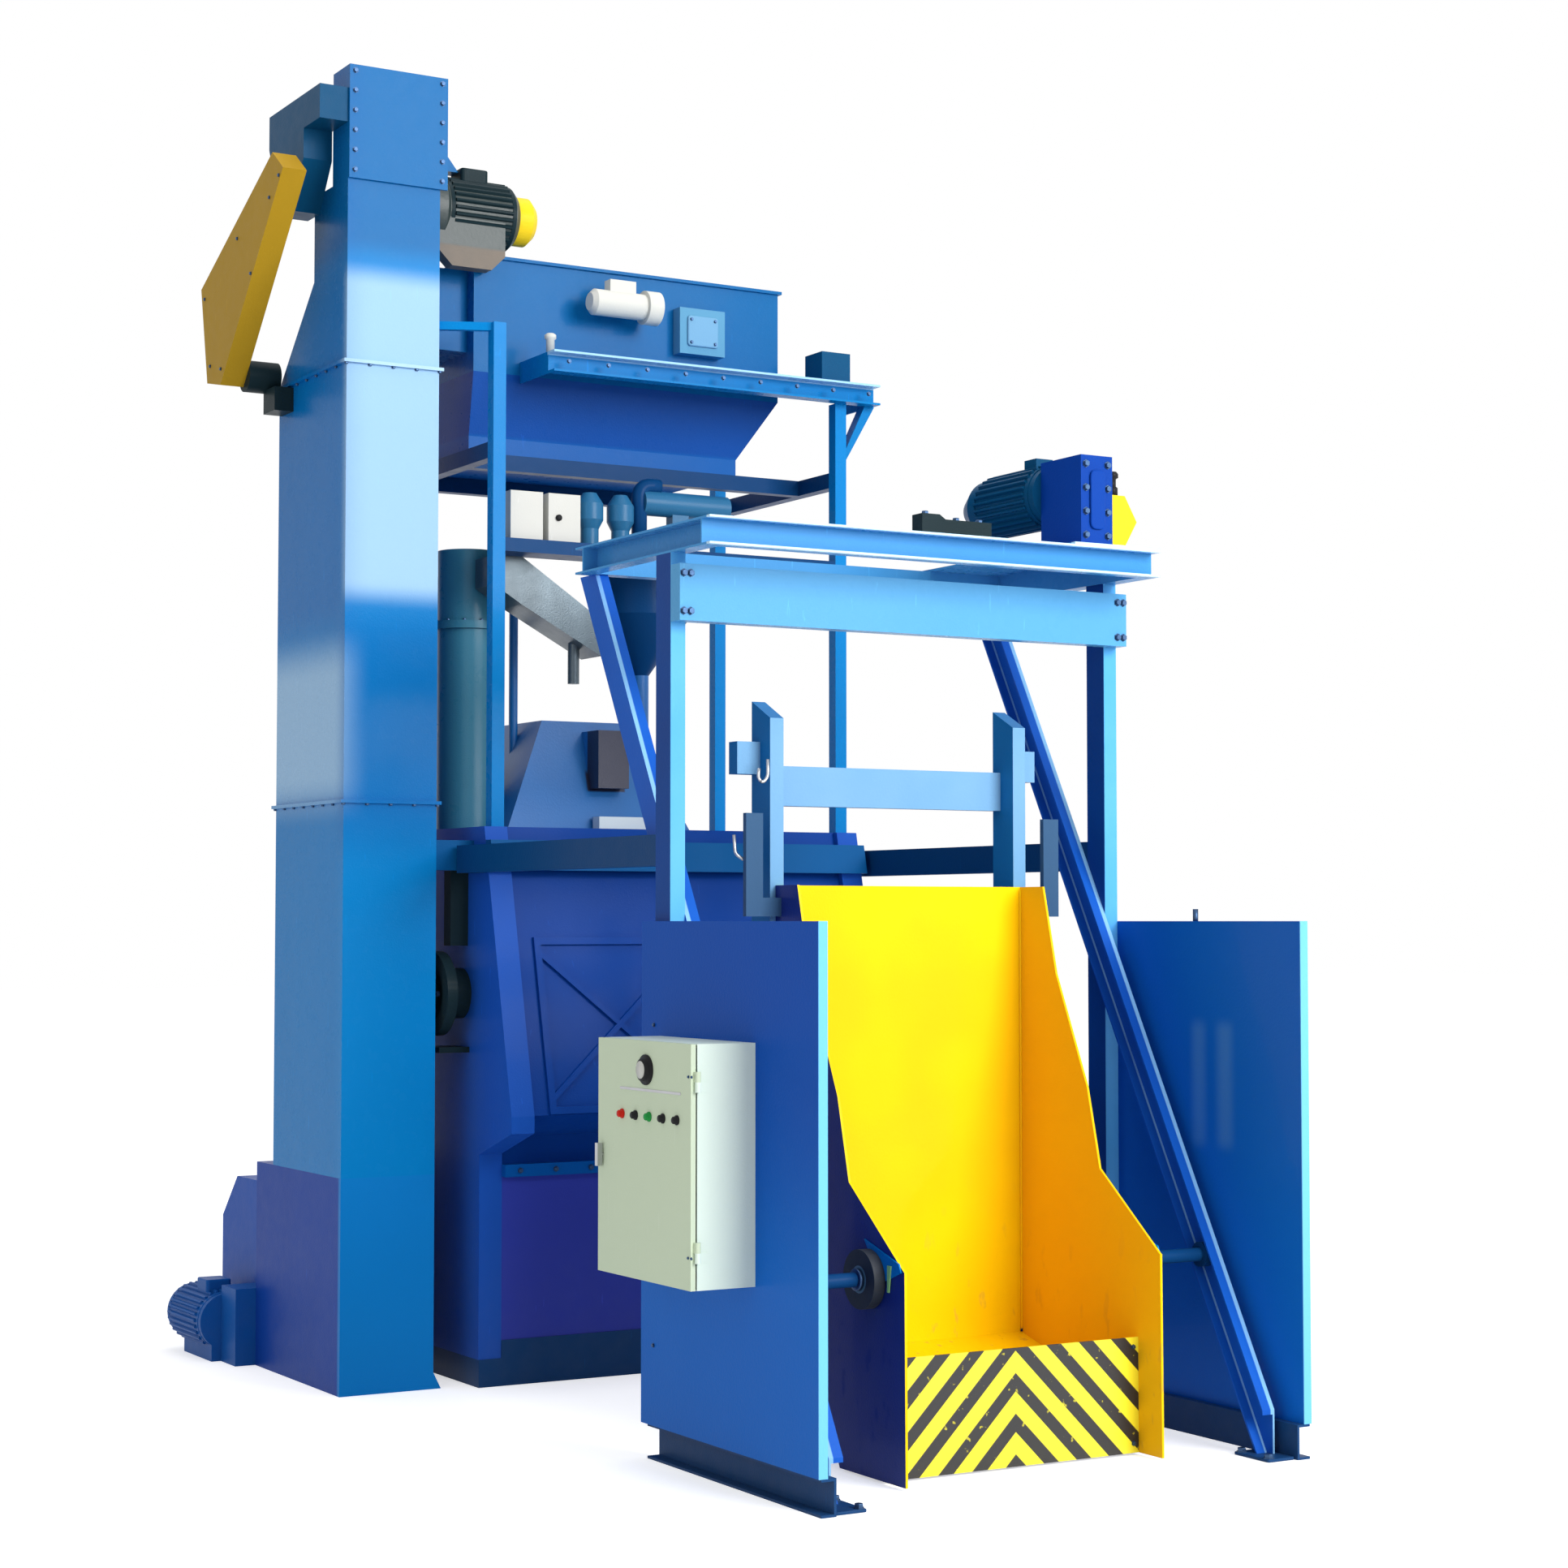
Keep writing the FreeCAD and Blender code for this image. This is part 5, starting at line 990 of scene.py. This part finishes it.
plateLow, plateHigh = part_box("skip_front_plate")
edgeX, edgeZ = fitting["plateEdge"]
places = [(x, plateLow[1], z) for x in (plateLow[0] + edgeX, plateHigh[0] - edgeX)
          for z in (plateLow[2] + edgeZ, plateHigh[2] - edgeZ)]
boltPiece("front_plate_bolts", places, "y", -1, fitting["plateBolt"], "skip")
wheelLow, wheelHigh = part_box("skip_wheel_left")
wheelY, wheelZ = (wheelLow[1] + wheelHigh[1]) / 2, (wheelLow[2] + wheelHigh[2]) / 2
for side, sign in (("left", -1), ("right", 1)):
    outer = sign * -wheelLow[0]
    collar = [(0.0225, 0.001), (0.034, 0.001), (0.034, 0.012), (0.031, 0.015), (0.0225, 0.015)]
    turnedPiece(
        side + "_wheel_collar", collar, (outer, wheelY, wheelZ), "x", sign, "skip", "darkSteel", 28
    )
print("skip done")

# tower and chamber top fittings

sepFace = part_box("separator_box")[0][1]
towerFit = {
    "knob": (-0.470, -0.48, 3.189), "inspection": ((0.150, 3.925), (0.285, 4.045)),
    "inspectionStep": (0.052, 0.042), "inspectionBolt": 0.006, "inspectionEdge": 0.015, "elbow": 0.030,
    "elbowBend": 0.05,
    "elbowPath": ((-0.105, -0.430, 3.100), (-0.105, -0.430, 3.345), (-0.020, -0.430, 3.345)),
    "peg": (-0.497, -0.46, 3.80), "ringRadius": 0.127, "ringLevel": 2.820, "ringCount": 12,
    "ringBolt": 0.006, "rimDrop": 0.024, "platformBolt": 0.008, "platformEdge": 0.06, "platformDrop": 0.04,
    "platformCount": 9
}
turnedPiece("valve_box_knob", [(0.0001, 0), (0.012, 0), (0.012, 0.008), (0.009, 0.012), (0.0001, 0.012)],
            towerFit["knob"], "y", -1, "machine", "black", 20)
(insX0, insZ0), (insX1, insZ1) = towerFit["inspection"]
outer, inner = (sepFace - step for step in towerFit["inspectionStep"])
softBox(
    "inspection_cover", (insX0, outer, insZ0), (insX1, inner, insZ1), "y", "machine", "paleBox",
)
edge = towerFit["inspectionEdge"]
places = [(x, outer, z) for x in (insX0 + edge, insX1 - edge) for z in (insZ0 + edge, insZ1 - edge)]
boltPiece("inspection_bolts", places, "y", -1, towerFit["inspectionBolt"], "machine")
elbowPath = curvedPath(towerFit["elbowPath"], towerFit["elbowBend"])
tubePiece("valve_elbow", elbowPath, towerFit["elbow"], "machine", "navy", 18)
peg = [
    (0.0001, 0), (0.016, 0), (0.016, 0.06), (0.022, 0.064), (0.022, 0.078), (0.014, 0.084), (0.0001, 0.084)
]
turnedPiece("platform_peg", peg, towerFit["peg"], "z", 1, "machine", "cream", 24)
ventLow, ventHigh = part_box("vent_duct")
ventX, ventY = (ventLow[0] + ventHigh[0]) / 2, (ventLow[1] + ventHigh[1]) / 2
ring, turns = towerFit["ringRadius"], np.linspace(0, 2 * math.pi, towerFit["ringCount"], endpoint=False)
places = [(ventX + ring * math.cos(turn), ventY + ring * math.sin(turn), towerFit["ringLevel"])
          for turn in turns]
boltPiece("duct_ring_bolts", places, "z", 1, towerFit["ringBolt"], "machine")
hopperLow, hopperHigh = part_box("shot_hopper")
hopperX, hopperY = (hopperLow[0] + hopperHigh[0]) / 2, (hopperLow[1] + hopperHigh[1]) / 2
rim = [(0.190, 0), (0.203, 0), (0.203, 0.018), (0.190, 0.018), (0.190, 0)]
turnedPiece(
    "hopper_rim", rim, (hopperX, hopperY, hopperHigh[2] - towerFit["rimDrop"]), "z", 1, "machine", "blue",
    48
)
platformLow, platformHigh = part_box("platform")
edge = towerFit["platformEdge"]
places = [(x, platformLow[1], platformHigh[2] - towerFit["platformDrop"])
          for x in span(platformLow[0] + edge, platformHigh[0] - edge, towerFit["platformCount"])]
boltPiece("platform_bolts", places, "y", -1, towerFit["platformBolt"], "machine")
print("tower done")

# belt guard and chamber front

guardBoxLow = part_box("belt_guard")[0]
beltFit = {
    "screws": (
        (-0.30, 4.30), (-0.395, 4.36), (0.21, 3.76), (0.33, 3.79), (0.40, 4.06), (0.04, 4.22), (-0.11, 4.06)
    ),
    "size": 0.006
}
places = [(guardBoxLow[0], y, z) for y, z in beltFit["screws"]]
boltPiece("belt_guard_screws", places, "x", -1, beltFit["size"], "machine")
ledgeLow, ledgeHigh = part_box("front_ledge")
ledgeBolts = {"edge": 0.06, "count": 10, "size": 0.009}
edge = ledgeBolts["edge"]
places = [(x, ledgeLow[1], (ledgeLow[2] + ledgeHigh[2]) / 2)
          for x in span(ledgeLow[0] + edge, ledgeHigh[0] - edge, ledgeBolts["count"])]
boltPiece("ledge_bolts", places, "y", -1, ledgeBolts["size"], "machine")
driveBolts = {
    "face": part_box("belt_drive")[0][0], "middle": (-0.345, 1.42), "ring": 0.07, "count": 6, "size": 0.010
}
driveY, driveZ = driveBolts["middle"]
ring, turns = driveBolts["ring"], np.linspace(0, 2 * math.pi, driveBolts["count"], endpoint=False)
places = [(driveBolts["face"], driveY + ring * math.cos(turn), driveZ + ring * math.sin(turn))
          for turn in turns]
boltPiece("drive_bolts", places, "x", -1, driveBolts["size"], "machine")
print("fittings done")

# stage

lights = {
    "key": {"place": (4.0, -15.0, 7.0), "aim": (0, -1.0, 2.0), "size": 8.0, "power": 2300},
    "fill": {"place": (-10.0, -5.0, 5.0), "aim": (0, -0.5, 2.0), "size": 6.0, "power": 60},
    "top": {"place": (0.0, -1.0, 11.0), "aim": (0, -1.0, 0.0), "size": 7.0, "power": 260},
}


def makeLight(name, settings):
    data = bpy.data.lights.new(name, "AREA")
    data.size = settings["size"]
    data.energy = settings["power"]
    lamp = bpy.data.objects.new(name, data)
    lamp.location = settings["place"]
    lamp.rotation_euler = (
        Vector(settings["aim"]) - Vector(settings["place"])
    ).to_track_quat("-Z", "Y").to_euler()
    bpy.context.collection.objects.link(lamp)


for name, settings in lights.items():
    makeLight(name, settings)

stage = {
    "floorSize": 60.0, "floorColour": (0.86, 0.86, 0.86), "floorGlow": 0.55, "skyLight": 0.55,
    "skyShown": 1.0
}


def makeFloor():
    half = stage["floorSize"]
    corners = [(-half, -half, 0), (half, -half, 0), (half, half, 0), (-half, half, 0)]
    mesh = bpy.data.meshes.new("studio_floor")
    mesh.from_pydata(corners, [], [(0, 1, 2, 3)])
    floor = bpy.data.objects.new("studio_floor", mesh)
    bpy.context.collection.objects.link(floor)
    made = Finish("floorPale")
    made.set(colour=rgba(stage["floorColour"]), rough=0.9, sheen=0.0, glow=(1, 1, 1, 1))
    path = made.add("ShaderNodeLightPath", {}, {})
    seen = Wire(made, path.outputs["Is Camera Ray"]).most(Wire(made, path.outputs["Is Glossy Ray"]))
    made.feed(made.surface.inputs["Emission Strength"], seen * stage["floorGlow"])
    mesh.materials.append(made.material)


def makeWorld():
    # white behind the object and in its reflections, a plain level in its light
    world = bpy.data.worlds.new("studio")
    world.use_nodes = True
    made = NodeTree(world.node_tree)
    path = made.add("ShaderNodeLightPath", {}, {})
    kinds = ("Is Camera Ray", "Is Transmission Ray", "Is Glossy Ray")
    seen, through, glossy = (Wire(made, path.outputs[kind]) for kind in kinds)
    shown = seen.most(through).most(glossy)
    level = made.put(
        "ShaderNodeMapRange", {}, {"Value": shown, "To Min": stage["skyLight"], "To Max": stage["skyShown"]}
    )
    background = made.nodes["Background"].inputs
    background["Color"].default_value = (1, 1, 1, 1)
    made.feed(background["Strength"], level)
    bpy.context.scene.world = world


makeFloor()
makeWorld()
bpy.context.scene.view_settings.view_transform = "Standard"
print("stage done")
